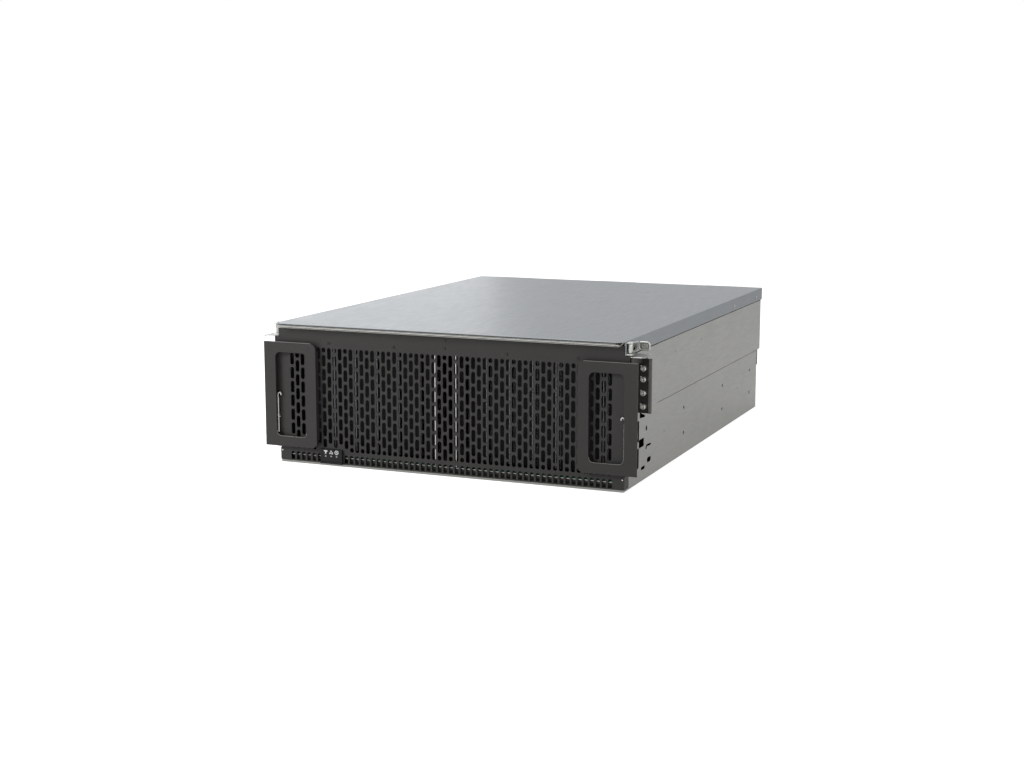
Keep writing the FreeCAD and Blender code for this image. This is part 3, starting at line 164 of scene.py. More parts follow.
def softbox(name, place, target, size, watts):
    """A soft rectangular lamp; places are in metres, size is its width and height."""
    lamp = bpy.data.lights.new(name, "AREA")
    lamp.shape = "RECTANGLE"
    lamp.size, lamp.size_y = size
    lamp.energy = watts
    return aim(bpy.data.objects.new(name, lamp), Vector(place), Vector(target))


LAMPS = (
    # name, place, target, size, watts
    ("key_left", (-1.3, -1.5, 1.0), (-0.1, -0.3, 0.1), (0.6, 0.6), 27),
    ("overhead", (-0.8, 0.2, 2.2), (0, 0, 0.1), (2.0, 1.8), 16),
    ("fill_right", (2.6, -1.2, 1.0), (0, 0, 0.1), (1.6, 1.2), 6),
    ("low_behind", (-1.9, 2.3, 0.6), (-0.1, 0, 0.15), (1.6, 0.9), 6),
)
lamps = [softbox(*row) for row in LAMPS]
lamps[0].visible_glossy = False

FLOOR_HALF = 9
FLOOR_DROP = 0.0004  # just under the shelf, so that the two faces don't flicker
FLOOR_LIFT = 0.82    # how much of pure white is added for the camera
FLOOR_GLOSSY = 0.5   # the share of that which reflections see
signs = ((-1, -1), (1, -1), (1, 1), (-1, 1))
corners = [(x * FLOOR_HALF, y * FLOOR_HALF, 0) for x, y in signs]
floor_mesh = bpy.data.meshes.new("floor")
floor_mesh.from_pydata(corners, [], [(0, 1, 2, 3)])
floor = bpy.data.objects.new("floor", floor_mesh)
floor.location.z = -FLOOR_DROP
bpy.context.scene.collection.objects.link(floor)
floor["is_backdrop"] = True
paper = bpy.data.materials.new("paper_sweep")
paper.use_nodes = True
tree = paper.node_tree
tree.nodes.clear()
matt = node(tree, "ShaderNodeBsdfDiffuse", Color=colour("#e2e2e2"))
ray = node(tree, "ShaderNodeLightPath").outputs
shown = node(tree, "ShaderNodeMath", {0: ray["Is Glossy Ray"]}, operation="MULTIPLY")
shown.inputs[1].default_value = FLOOR_GLOSSY
either = {0: ray["Is Camera Ray"], 1: shown.outputs[0]}
seen = node(tree, "ShaderNodeMath", either, operation="MAXIMUM")
lift = node(tree, "ShaderNodeMath", {0: seen.outputs[0]}, operation="MULTIPLY")
lift.inputs[1].default_value = FLOOR_LIFT
glow = node(tree, "ShaderNodeEmission", {"Strength": lift.outputs[0]}, Color=colour("#ffffff"))
both = node(tree, "ShaderNodeAddShader", {0: matt.outputs[0], 1: glow.outputs[0]})
node(tree, "ShaderNodeOutputMaterial", {"Surface": both.outputs[0]})
floor_mesh.materials.append(paper)
print("studio:", len(lamps), "softboxes, white world and floor")

# %% [markdown]
# ## Finishes
# Real finishes are never one flat colour. Each function starts from what the maker does to the
# surface: powder coat is sprayed and baked, so it has a fine pebble; plated sheet is rolled, so it
# has faint lines along the coil and soft cloudy patches; moulded plastic carries the fine grain of
# its tool. All patterns read Object coordinates, which are metres, so their scale is a real size.

# %% Material helpers
def finish(name, base, metallic=0.0, roughness=0.5):
    """A material with one Principled shader; returns it with its tree and shader."""
    made = bpy.data.materials.new(name)
    made.use_nodes = True
    tree = made.node_tree
    shader = tree.nodes["Principled BSDF"]
    shader.inputs["Base Color"].default_value = colour(base)
    shader.inputs["Metallic"].default_value = metallic
    shader.inputs["Roughness"].default_value = roughness
    return made, tree, shader


def noise(tree, size_mm, stretch=(1, 1, 1), detail=3.0):
    """Noise whose blobs are about size_mm across; stretch lengthens them along an axis."""
    place = node(tree, "ShaderNodeTexCoord")
    scale = tuple(1.0 / s for s in stretch)
    scaled = node(tree, "ShaderNodeMapping", {"Vector": place.outputs["Object"]}, Scale=scale)
    return node(tree, "ShaderNodeTexNoise", {"Vector": scaled.outputs[0]},
                Scale=1.0 / (size_mm * MM), Detail=detail)


def ramp(tree, source, low, high, start=0.35, end=0.65):
    """Spread a pattern between two values."""
    made = node(tree, "ShaderNodeMapRange", {"Value": source})
    made.inputs["From Min"].default_value = start
    made.inputs["From Max"].default_value = end
    made.inputs["To Min"].default_value = low
    made.inputs["To Max"].default_value = high
    return made.outputs[0]


def blend_colours(tree, factor, first, second):
    """A mix of two hex colours by a pattern."""
    made = node(tree, "ShaderNodeMix", {"Factor": factor}, data_type="RGBA")
    made.inputs["A"].default_value = colour(first)
    made.inputs["B"].default_value = colour(second)
    return made.outputs["Result"]


def bump(tree, shader, height, strength, distance_mm):
    """Fine relief that is too small to be modelled."""
    depth = distance_mm * MM
    made = node(tree, "ShaderNodeBump", {"Height": height}, Strength=strength, Distance=depth)
    tree.links.new(made.outputs[0], shader.inputs["Normal"])


def wear(tree, shader, pattern, low, high):
    """Let a pattern vary the roughness between two values."""
    tree.links.new(ramp(tree, pattern.outputs[0], low, high), shader.inputs["Roughness"])


def tint(tree, shader, pattern, first, second):
    """Let a pattern vary the base colour between two hex colours."""
    mixed = blend_colours(tree, pattern, first, second)
    tree.links.new(mixed, shader.inputs["Base Color"])


# %% [markdown]
# ## The finishes themselves
# Five kinds cover the shelf: powder coat on the front, plated sheet for walls and cover, moulded
# plastic for fans, carriers and lamps, solder mask on the boards and cast aluminium on the drives.
# Each kind is one function.

# %% The finishes themselves
def powder_coat(name, dark, light):
    """Baked epoxy powder: a matt skin with a pebble about 0.5 mm across, drawn at 0.8 mm."""
    made, tree, shader = finish(name, dark, metallic=0.0, roughness=0.55)
    pebble = noise(tree, size_mm=0.8)
    cloud = noise(tree, size_mm=60.0)
    tint(tree, shader, cloud.outputs[0], dark, light)
    wear(tree, shader, pebble, 0.4, 0.52)
    bump(tree, shader, pebble.outputs[0], strength=0.25, distance_mm=0.08)
    shader.inputs["IOR"].default_value = 1.5
    shader.inputs["Specular IOR Level"].default_value = 0.25
    return made


def rolled_steel(name, first, second, roughness, along=(1, 40, 1), edge="#ffffff"):
    """Zinc-plated sheet: satin, with rolling lines along the coil and cloudy patches 40 mm wide.

    A passivated skin shines less at a low angle than clean metal does; edge is that tint.
    """
    made, tree, shader = finish(name, first, 1.0, roughness)
    shader.inputs["Specular Tint"].default_value = colour(edge)
    lines = noise(tree, 0.7, along)
    cloud = noise(tree, size_mm=40.0)
    tint(tree, shader, cloud.outputs[0], first, second)
    wear(tree, shader, lines, roughness - 0.05, roughness + 0.08)
    bump(tree, shader, lines.outputs[0], strength=0.12, distance_mm=0.02)
    return made


def moulded_plastic(name, base, roughness=0.5, grain_mm=0.5, gloss=0.5):
    """Injection-moulded ABS or polycarbonate with the fine spark grain of its tool."""
    made, tree, shader = finish(name, base, 0.0, roughness)
    shader.inputs["Specular IOR Level"].default_value = gloss
    grain = noise(tree, grain_mm)
    wear(tree, shader, grain, roughness - 0.06, roughness + 0.08)
    bump(tree, shader, grain.outputs[0], strength=0.3, distance_mm=0.03)
    shader.inputs["IOR"].default_value = 1.53
    return made


def solder_mask(name):
    """Green epoxy solder mask over copper: tracks show as slightly paler lines."""
    made, tree, shader = finish(name, "#14503a", metallic=0.0, roughness=0.35)
    tracks = noise(tree, 2.0, stretch=(6, 1, 1), detail=1.0)
    crisp = ramp(tree, tracks.outputs[0], 0, 1, start=0.48, end=0.52)
    tint(tree, shader, crisp, "#123f2e", "#1d6548")
    return made


def cast_case(name):
    """Die-cast and machined aluminium drive case: dull, with a fine cast skin."""
    made, tree, shader = finish(name, "#8c8e90", metallic=0.9, roughness=0.42)
    skin = noise(tree, size_mm=1.2)
    wear(tree, shader, skin, 0.36, 0.5)
    bump(tree, shader, skin.outputs[0], strength=0.2, distance_mm=0.04)
    return made


BLACK_COAT = powder_coat("black_powder_coat", "#353433", "#3b3a39")
WALL_STEEL = rolled_steel("plated_wall_steel", "#969693", "#a09f9c", 0.42)
COVER_STEEL = rolled_steel("plated_cover_steel", "#989b9e", "#9fa2a5", 0.34, edge="#d4d5d6")
BRIGHT_STEEL = rolled_steel("nickel_plated_steel", "#bcbcb8", "#cbcbc7", 0.26, (1, 1, 8))
BLACK_MOULDING = moulded_plastic("black_abs", "#101011", gloss=0.3)
# The carriers are black plastic, made darker still and less glossy as painted shade for the inside of
# the shelf behind the panel; the power supply fans share this material.
CARRIER_BLACK_AND_SHADE = moulded_plastic("carrier_polycarbonate", "#070708", 0.45, gloss=0.2)
BLUE_MOULDING = moulded_plastic("blue_touch_point", "#1f4f7a", 0.4)
BOARD_MASK = solder_mask("board_solder_mask")
DRIVE_CAST = cast_case("cast_drive_case")
PIPE_CLEAR = moulded_plastic("frosted_light_pipe", "#9a9c9a", 0.3)
FINISH_OF_SLOT = {
    "black_paint": BLACK_COAT,
    "plated_steel": WALL_STEEL,
    "cover_steel": COVER_STEEL,
    "bright_steel": BRIGHT_STEEL,
    "black_plastic": BLACK_MOULDING,
    "carrier_plastic": CARRIER_BLACK_AND_SHADE,
    "board": BOARD_MASK,
    "drive_case": DRIVE_CAST,
    "light_pipe": PIPE_CLEAR,
    "blue_plastic": BLUE_MOULDING,
}
BRIGHT_HEAD = rolled_steel("nickel_plated_head", "#dededa", "#e8e8e4", 0.3, (1, 1, 1))
# Black zinc for the panel screw heads; the front cross rail wears it too, where the dark is painted
# shade for the cavity under its lip.
BLACK_ZINC_AND_SHADE = rolled_steel("black_zinc_steel", "#3c3c3b", "#4a4a49", 0.35, (1, 1, 1))
# Painted shade: a matt black with no gloss, for the sheet behind each latch arm, the sheet behind the
# side plates' openings and the line under the cover's side.
PAINTED_SHADE_BLACK = moulded_plastic("black_foam", "#040404", 0.9, gloss=0.0)
# Painted highlight: pale beads along the handle's top and grip, where the black coat catches the
# light.
HIGHLIGHT_COAT = powder_coat("worn_coat_edge", "#7c7b79", "#8a8987")
WHITE_INK = moulded_plastic("white_pad_print", "#d8d8d6", 0.5)
GOLD_CONTACT = rolled_steel("gold_flashed_contact", "#c9a35a", "#d4b06a", 0.3, (1, 1, 1))
GREEN_PIPE = moulded_plastic("green_light_pipe", "#5f9a62", 0.3)
FINISH_OF_NODE = {
    "catch_brackets": WALL_STEEL,
    # Painted shade: the cross rail is made this dark for the cavity behind the low vents.
    "front_cross_rail": BLACK_ZINC_AND_SHADE,
    "drives_front_rows": DRIVE_CAST,
}
SLOT_OF = {row["node"]: row["material_slot"] for row in frame["record"]["subparts"]}
for name, obj in NODES.items():
    obj.data.materials.clear()
    obj.data.materials.append(FINISH_OF_NODE.get(name) or FINISH_OF_SLOT[SLOT_OF[name]])
print("finishes:", len(FINISH_OF_SLOT), "on", len(NODES), "nodes")

# %% [markdown]
# ## Round edges
# No real edge is a knife edge. A sheared sheet has a burr that is brushed away, and powder coat
# pulls back from a corner and shines there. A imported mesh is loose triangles, so each copy is first
# welded, its flat faces are joined again, and only then does a Bevel modifier cut the sharp edges.
# The front panel stays as packed, because its slots are too many and too fine for such a cut.

# %% Welded and bevelled copies
RECORD = frame["record"]
BODY_OF = {name: body for body, names in RECORD["behaviour"]["bodies"].items() for name in names}
WELD = 1e-6


def at(x, y, z):
    """A point from millimetres: right of the middle, behind the panel's face, above the floor."""
    return Vector((x * MM, FRONT_Y + y * MM, z * MM))


FLAT_ANGLE = math.radians(2)


def welded(name):
    """A copy of a node's mesh with its triangles joined into flat faces."""
    bm = bmesh.new()
    bm.from_mesh(NODES[name].data)
    bmesh.ops.remove_doubles(bm, verts=bm.verts, dist=WELD)
    bmesh.ops.dissolve_limit(bm, angle_limit=FLAT_ANGLE, verts=bm.verts, edges=bm.edges)
    return bm


def islands(name):
    """The lowest and highest corner of each separate solid in a node."""
    bm = bmesh.new()
    bm.from_mesh(NODES[name].data)
    bmesh.ops.remove_doubles(bm, verts=bm.verts, dist=WELD)
    todo, found = set(bm.verts), []
    while todo:
        heap, group = [todo.pop()], []
        while heap:
            vert = heap.pop()
            group.append(vert.co.copy())
            for edge in vert.link_edges:
                other = edge.other_vert(vert)
                if other in todo:
                    todo.remove(other)
                    heap.append(other)
        low = Vector([min(c[i] for c in group) for i in range(3)])
        high = Vector([max(c[i] for c in group) for i in range(3)])
        found.append((low, high))
    bm.free()
    return sorted(found, key=lambda box: tuple(round(c, 4) for c in (*box[0], *box[1])))


SHARP = math.radians(35)
TO_ROUND = []


def soften(obj, width_mm, segments=2):
    """Shade a piece smooth up to its sharp edges; the edges themselves are cut at the end."""
    creased = [edge.index for edge in obj.data.edges if edge.use_edge_sharp]
    obj.data.shade_smooth()
    obj.data.set_sharp_from_angle(angle=SHARP)
    for index in creased:
        obj.data.edges[index].use_edge_sharp = True
    if width_mm:
        TO_ROUND.append((obj, width_mm, segments))


def piece(name, bm, body, slot, nodes=(), bevel=0.0, material=None, segments=2):
    """Turn mesh code into a piece that rides on a body, and may stand for some nodes."""
    mesh = bpy.data.meshes.new(name)
    bm.to_mesh(mesh)
    bm.free()
    mesh.materials.append(material or FINISH_OF_SLOT[slot])
    obj = bpy.data.objects.new(name, mesh)
    bpy.context.scene.collection.objects.link(obj)
    soften(obj, bevel, segments)
    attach(obj, body)
    if nodes:
        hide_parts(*nodes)
    return obj


def rounded(name, width_mm, segments=2):
    """A bevelled copy that stands for one node."""
    chosen = FINISH_OF_NODE.get(name)
    return piece("soft_" + name, welded(name), BODY_OF[name], SLOT_OF[name], [name], width_mm,
                 chosen, segments)


HANDLE_EDGE = 0.9
EDGES = {
    # bevel width in millimetres, and the nodes that get it
    0.5: ["top_cover", "rack_ears"],
    0.3: ["side_panel_left", "side_panel_right", "base_tray", "catch_brackets", "rear_header"],
    0.25: ["cover_stiffener"],
    0.4: ["status_panel", "latch_mounts", "chassis_hinge_leaves", "cover_hinge_leaves"],
}
for side in ("left", "right"):
    EDGES[0.5] += [f"psu_{side}_case", f"io_{side}_case", f"io_{side}_lever"]
    EDGES[0.4] += [f"psu_{side}_inlet"]
for i in range(1, 5):
    EDGES[0.5] += [f"fan_housing_{i}"]
    EDGES[0.3] += [f"fan_rotor_{i}"]
for width, names in EDGES.items():
    for name in names:
        rounded(name, width)
for side in ("left", "right"):
    rounded("handle_" + side, HANDLE_EDGE, segments=3)
print("rounded copies:", sum(len(names) for names in EDGES.values()) + 2)

# %% [markdown]
# ## Flat pressed parts
# A pressed part is an outline punched from sheet, its edge a little rounded by the tool. A flat
# curve is a good way to draw one: the first spline is the outline, the others are holes, extrude
# gives the sheet its thickness and bevel rounds the rim. It is turned into a mesh before it is set
# in its place, because a piece's place has to be in its mesh.

# %% Outlines to plates
def ring(cx, cy, w, h, r, steps=6):
    """Points of a rectangle with round corners, in millimetres."""
    points = []
    across, along = w / 2 - r, h / 2 - r
    signs = ((1, 1), (-1, 1), (-1, -1), (1, -1))
    for quarter, (u, v) in enumerate(signs):
        x, y = u * across, v * along
        for i in range(steps + 1):
            turn = math.radians(90) * (quarter + i / steps)
            points.append((cx + x + r * math.cos(turn), cy + y + r * math.sin(turn)))
    return points


FLAT_NORMAL = 0.999  # a face belongs to the broad flat if its normal's z is above this


def pressed(outlines, thick, rim=0.25):
    """A plate in its own plane: x and y as drawn, its thickness centred on z. Millimetres."""
    curve = bpy.data.curves.new("outline", "CURVE")
    curve.dimensions = "2D"
    curve.fill_mode = "BOTH"
    curve.extrude = (thick / 2 - rim) * MM
    curve.bevel_depth = rim * MM
    curve.bevel_resolution = 1
    curve.offset = -rim * MM
    for points in outlines:
        spline = curve.splines.new("POLY")
        spline.points.add(len(points) - 1)
        for point, (x, y) in zip(spline.points, points):
            point.co = (x * MM, y * MM, 0, 1)
        spline.use_cyclic_u = True
    made = bpy.data.objects.new("outline", curve)
    mesh = bpy.data.meshes.new_from_object(made)
    bpy.data.objects.remove(made)
    bm = bmesh.new()
    bm.from_mesh(mesh)
    bmesh.ops.remove_doubles(bm, verts=bm.verts, dist=WELD)
    for edge in bm.edges:
        if len({abs(face.normal.z) > FLAT_NORMAL for face in edge.link_faces}) == 2:
            edge.smooth = False  # keeps the shading of the rim off the broad flat
    return bm


def facing(origin, right, up):
    """A matrix that stands a plate up: its x runs along right, its y along up."""
    right, up = Vector(right), Vector(up)
    out = right.cross(up)
    turn = Matrix((right, up, out)).transposed().to_4x4()
    return Matrix.Translation(origin) @ turn


def joined(parts):
    """Several (bmesh, matrix) pairs in one bmesh."""
    whole = bmesh.new()
    for bm, place in parts:
        bm.transform(place)
        mesh = bpy.data.meshes.new("part")
        bm.to_mesh(mesh)
        bm.free()
        whole.from_mesh(mesh)
        bpy.data.meshes.remove(mesh)
    bmesh.ops.recalc_face_normals(whole, faces=whole.faces)
    return whole


def turned(profile, steps=24):
    """A turned part on the z axis, closed at both ends, from (radius, height) pairs in mm."""
    bm = bmesh.new()
    rows = []
    turns = [2 * math.pi * i / steps for i in range(steps)]
    for r, z in profile:
        spots = [(r * MM * math.cos(t), r * MM * math.sin(t), z * MM) for t in turns]
        rows.append([bm.verts.new(spot) for spot in spots])
    for low_row, high_row in zip(rows, rows[1:]):
        for i in range(steps):
            j = (i + 1) % steps
            bm.faces.new((low_row[i], low_row[j], high_row[j], high_row[i]))
    bm.faces.new(list(reversed(rows[0])))
    bm.faces.new(rows[-1])
    bmesh.ops.recalc_face_normals(bm, faces=bm.faces)
    return bm


def brick(x0, x1, y0, y1, z0, z1):
    """A box between two corners in millimetres about a part's own origin."""
    bm = bmesh.new()
    bmesh.ops.create_cube(bm, size=1.0)
    low, high = Vector((x0, y0, z0)) * MM, Vector((x1, y1, z1)) * MM
    bm.transform(Matrix.Translation((low + high) / 2) @ Matrix.Diagonal((*(high - low), 1)))
    return bm


def block(x0, x1, y0, y1, z0, z1):
    """The same box in the shelf's own millimetres."""
    bm = brick(min(x0, x1), max(x0, x1), y0, y1, z0, z1)
    bm.transform(Matrix.Translation(at(0, 0, 0)))
    return bm


def upright(*shapes):
    """Shapes that already stand in their place, joined."""
    return joined([(shape, UPRIGHT) for shape in shapes])


UPRIGHT = Matrix.Identity(4)
print("plate, turning and block helpers ready")

# %% [markdown]
# ## The cover latches
# Each latch is one pressed and plated lever: a barrel that turns on the pin, an arm with a
# three-cornered window and rolled-over edges, and a finger tab with a thick rolled rim round a
# dished middle. Rolled edges are tubes, so they are curves with a round bevel. A thin black sheet
# behind the arm is painted shade, so that the window reads as a hole.

# %% Latches
LATCH_LOW, LATCH_HIGH = ([c / MM for c in corner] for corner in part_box("cover_latch_right"))
LATCH_ROOT_X, LATCH_END_X = LATCH_LOW[0], LATCH_HIGH[0]
LATCH_BOTTOM, LATCH_TOP = LATCH_LOW[2], LATCH_HIGH[2]
LATCH_MIDDLE = (LATCH_BOTTOM + LATCH_TOP) / 2
TAB_Y = LATCH_HIGH[1] - FRONT_Y / MM
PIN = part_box("latch_pins")
PIN_Y = (PIN[0].y + PIN[1].y) / 2 / MM - FRONT_Y / MM
RIM = 1.1          # radius of the tab's rolled rim
BEAD = 0.6         # radius of the arm's rolled edges
BARREL = 2.6       # radius of the barrel
WINDOW_EDGE = 2.4  # from the arm's edge to its window


def rolled(points, radius, closed=True):
    """A round bead along a line of points given in metres."""
    curve = bpy.data.curves.new("bead", "CURVE")
    curve.dimensions = "3D"
    curve.bevel_depth = radius * MM
    curve.bevel_resolution = 3
    spline = curve.splines.new("POLY")
    spline.points.add(len(points) - 1)
    for point, co in zip(spline.points, points):
        point.co = (*co, 1)
    spline.use_cyclic_u = closed
    curve.use_fill_caps = not closed
    made = bpy.data.objects.new("bead", curve)
    mesh = bpy.data.meshes.new_from_object(made)
    bpy.data.objects.remove(made)
    bm = bmesh.new()
    bm.from_mesh(mesh)
    return bm


def latch(side):
    """The lever of one side; the drawing is for the right side, and is mirrored for the left."""
    tall = LATCH_TOP - LATCH_BOTTOM
    root = LATCH_ROOT_X + BARREL
    wide = LATCH_END_X - root - 1.2
    tab_x = LATCH_END_X - wide / 2
    front = facing(at(0, TAB_Y - 0.9, 0), (1, 0, 0), (0, 0, 1))
    tab_rim = ring(tab_x, LATCH_MIDDLE, wide - 2 * RIM, tall - 2 * RIM, 3.0, 8)
    tab_boss = ring(tab_x + 0.8, LATCH_MIDDLE, wide - 8.4, 3.4, 1.7, 8)
    rim = [at(x, TAB_Y - 1.3, z) for x, z in tab_rim]
    boss = [at(x, TAB_Y - 1.9, z) for x, z in tab_boss]
    low, high = LATCH_BOTTOM + WINDOW_EDGE, LATCH_TOP - WINDOW_EDGE
    window = [(12.0, low), (22.5, low), (22.5, high)]
    arm_end = TAB_Y - 1
    arm = [(PIN_Y, LATCH_BOTTOM), (arm_end, LATCH_BOTTOM), (arm_end, LATCH_TOP), (PIN_Y, LATCH_TOP)]
    recess = ring(PIN_Y + 4.2, LATCH_MIDDLE, 2.6, 6.0, 1.3)
    sideways = facing(at(root, 0, 0), (0, 1, 0), (0, 0, 1))
    barrel = [(1.6, 0), (2.3, 0.3), (BARREL, 1.0)]
    barrel += [(BARREL, tall - 1.0), (2.3, tall - 0.3), (1.6, tall)]
    plates = [
        (pressed([ring(tab_x, LATCH_MIDDLE, wide - 1, tall - 1, 3.2, 8)], 0.9, 0.2), front),
        (pressed([arm, window, recess], 1.2, 0.3), sideways),
    ]
    # Painted shade: a thin matt black sheet just behind the arm, seen through its window.
    behind = facing(at(root - 0.75, 0, 0), (0, 1, 0), (0, 0, 1))
    shade = [(pressed([ring(16, LATCH_MIDDLE, 20, tall - 3, 2)], 0.25, 0.08), behind)]
    parts = [
        (rolled(rim, RIM), UPRIGHT),
        (rolled(boss, 0.4), UPRIGHT),
        (turned(barrel), Matrix.Translation(at(root, PIN_Y, LATCH_BOTTOM))),
    ]
    for z in (LATCH_BOTTOM + BEAD, LATCH_TOP - BEAD):
        line = ((root + 0.5, PIN_Y), (root + 0.9, PIN_Y + 6), (root + 0.9, TAB_Y - 1.4))
        parts.append((rolled([at(x, y, z) for x, y in line], BEAD, False), UPRIGHT))
    named = (
        ("plate", plates, "plated_steel", WALL_STEEL),
        ("rim", parts, "bright_steel", BRIGHT_STEEL),
        ("shade", shade, "black_plastic", PAINTED_SHADE_BLACK),
    )
    for label, group, slot_name, material in named:
        whole = joined(group)
        if side == "left":
            whole.transform(Matrix.Diagonal((-1, 1, 1, 1)))
            bmesh.ops.reverse_faces(whole, faces=whole.faces)
        nodes = [f"cover_latch_{side}"] if label == "plate" else []
        piece(f"latch_{label}_{side}", whole, f"latch_{side}", slot_name, nodes, 0, material)


for side in ("left", "right"):
    latch(side)
print("latches: 2, tab", round(LATCH_END_X - LATCH_ROOT_X, 1), "mm wide")

# %% [markdown]
# ## Screws and rivets
# The same small head is used again and again, so Geometry Nodes set it: one tree puts a part on
# every vertex of a mesh of places, turns it to face outwards and twists it about its own axis,
# because no two sockets stop at the same angle. The twist comes from a fixed seed. The tree ends in
# Realize Instances and Set Material, and its result is taken as a plain mesh.

# %% The tree that sets a part on every place
def new_tree(name, sockets):
    """A geometry tree with named inputs; returns it with its two group nodes."""
    tree = bpy.data.node_groups.new(name, "GeometryNodeTree")
    tree.interface.new_socket("Geometry", in_out="INPUT", socket_type="NodeSocketGeometry")
    for label, kind in sockets:
        tree.interface.new_socket(label, in_out="INPUT", socket_type="NodeSocket" + kind)
    tree.interface.new_socket("Geometry", in_out="OUTPUT", socket_type="NodeSocketGeometry")
    return tree, node(tree, "NodeGroupInput"), node(tree, "NodeGroupOutput")


def part_on_places():
    """A tree that sets one part on every vertex, turned and twisted, and gives it a finish."""
    sockets = (("Part", "Object"), ("Turn", "Rotation"), ("Twist", "Float"), ("Seed", "Int"),
               ("Finish", "Material"))
    tree, inputs, result = new_tree("part_on_places", sockets)
    given = inputs.outputs
    info = node(tree, "GeometryNodeObjectInfo", {"Object": given["Part"]})
    twist = node(tree, "FunctionNodeRandomValue", {3: given["Twist"], "Seed": given["Seed"]})
    spin = node(tree, "FunctionNodeAxisAngleToRotation", {"Angle": twist.outputs[1]})
    spin.inputs["Axis"].default_value = (0, 0, 1)
    turn = node(tree, "FunctionNodeRotateRotation", {0: given["Turn"], 1: spin.outputs[0]})
    turn.rotation_space = "LOCAL"
    links = {"Points": given["Geometry"], "Instance": info.outputs["Geometry"],
             "Rotation": turn.outputs[0]}
    placed = node(tree, "GeometryNodeInstanceOnPoints", links)
    real = node(tree, "GeometryNodeRealizeInstances", {0: placed.outputs[0]})
    dressed = {0: real.outputs[0], "Material": given["Finish"]}
    coated = node(tree, "GeometryNodeSetMaterial", dressed)
    tree.links.new(coated.outputs[0], result.inputs[0])
    return tree


PART_TREE = part_on_places()
FACE_FRONT = (math.radians(90), 0, 0)
FACE_UP = (0, 0, 0)
FACE_RIGHT = (0, math.radians(90), 0)
FACE_LEFT = (0, math.radians(-90), 0)


def grown(mesh, tree, values):
    """Run a tree on a mesh and return the plain mesh that it makes."""
    obj = bpy.data.objects.new(mesh.name, mesh)
    bpy.context.scene.collection.objects.link(obj)
    modifier = obj.modifiers.new("grow", "NODES")
    modifier.node_group = tree
    for item in tree.interface.items_tree:
        if item.in_out == "INPUT" and item.name in values:
            modifier[item.identifier] = values[item.name]
    graph = bpy.context.evaluated_depsgraph_get()
    shape = bpy.data.meshes.new_from_object(obj.evaluated_get(graph))
    bpy.data.objects.remove(obj)
    return shape


def set_on(name, part, places, turn, body, slot, nodes=(), twist=0.0, seed=1, material=None):
    """Set a small part, given as a bmesh on its own z axis, on every place."""
    mesh = bpy.data.meshes.new(name + "_part")
    part.to_mesh(mesh)
    part.free()
    mesh.shade_smooth()
    mesh.set_sharp_from_angle(angle=SHARP)
    pattern = bpy.data.objects.new(name + "_part", mesh)
    points = bpy.data.meshes.new(name)
    points.from_pydata([tuple(p) for p in places], [], [])
    chosen = material or FINISH_OF_SLOT[slot]
    values = {"Part": pattern, "Turn": turn, "Twist": twist, "Seed": seed, "Finish": chosen}
    shape = grown(points, PART_TREE, values)
    bpy.data.objects.remove(pattern)
    obj = bpy.data.objects.new(name, shape)
    bpy.context.scene.collection.objects.link(obj)
    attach(obj, body)
    if nodes:
        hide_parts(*nodes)
    print(name, len(places), "places,", len(shape.polygons), "faces")
    return obj


# %% [markdown]
# ## Heads with a socket
# A screw head is a turned profile whose flat end is inset and sunk for the key; a rivet or a clip
# has no socket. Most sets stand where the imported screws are, and replace them.

# %% Heads with a socket
ANY_TWIST = 6.28  # a whole turn, so that sockets stop anywhere


def key_head(profile, socket, deep):
    """A turned head whose flat end has a socket for a key; its bearing face is at z 0."""
    bm = turned(profile)
    top = max(bm.faces, key=lambda f: f.calc_center_median().z)
    bmesh.ops.inset_individual(bm, faces=[top], thickness=(profile[-1][0] - socket) * MM)
    sunk = bmesh.ops.extrude_discrete_faces(bm, faces=[top])["faces"]
    bmesh.ops.translate(bm, verts=list(sunk[0].verts), vec=(0, 0, -deep * MM))
    bmesh.ops.recalc_face_normals(bm, faces=bm.faces)
    return bm


def low_head(r, tall):
    """A low domed screw head with a socket; radius and height in millimetres."""
    profile = [(r, 0), (r, tall * 0.55), (r * 0.9, tall * 0.88), (r * 0.72, tall)]
    return key_head(profile, socket=r * 0.45, deep=tall * 0.6)


def middle(box):
    """The middle of a pair of corners."""
    return (box[0] + box[1]) / 2


def on_plane(boxes, y):
    """The middle of each box, brought to one upright plane."""
    return [Vector((middle(b).x, y, middle(b).z)) for b in boxes]


set_on("panel_screw_heads", low_head(1.7, 0.9), on_plane(islands("panel_screws"), FRONT_Y),
       FACE_FRONT, "chassis", "bright_steel", ["panel_screws"], ANY_TWIST, 4, BLACK_ZINC_AND_SHADE)

EAR_FACE_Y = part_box("rack_ears")[0].y
EAR_SCREWS = islands("rack_screws")
ear_places = on_plane(EAR_SCREWS, EAR_FACE_Y)
tail = (EAR_SCREWS[0][1].y - EAR_FACE_Y) / MM
proud = (EAR_FACE_Y - EAR_SCREWS[0][0].y) / MM
captive = [(2.2, -tail), (2.5, 0.6 - tail), (2.5, -3), (2.2, -2.8), (2.2, 0), (3.2, 0)]
captive += [(3.25, 0.3), (3.25, proud - 0.9), (3.0, proud - 0.25), (2.6, proud)]
set_on("captive_rack_screws", key_head(captive, socket=1.35, deep=2.4), ear_places, FACE_FRONT,
       "chassis", "bright_steel", ["rack_screws"], ANY_TWIST, 7, BRIGHT_HEAD)
CLIP_ASIDE, CLIP_ABOVE = -3.4, 2.6  # from the screw's middle
clip = turned([(1.2, 0), (1.2, 1.4), (0.8, 2.0)], 12)
clip_places = [p + Vector((CLIP_ASIDE * MM, 0, CLIP_ABOVE * MM)) for p in ear_places]
set_on("screw_retaining_clips", clip, clip_places, FACE_FRONT, "chassis", "bright_steel",
       material=BRIGHT_HEAD)
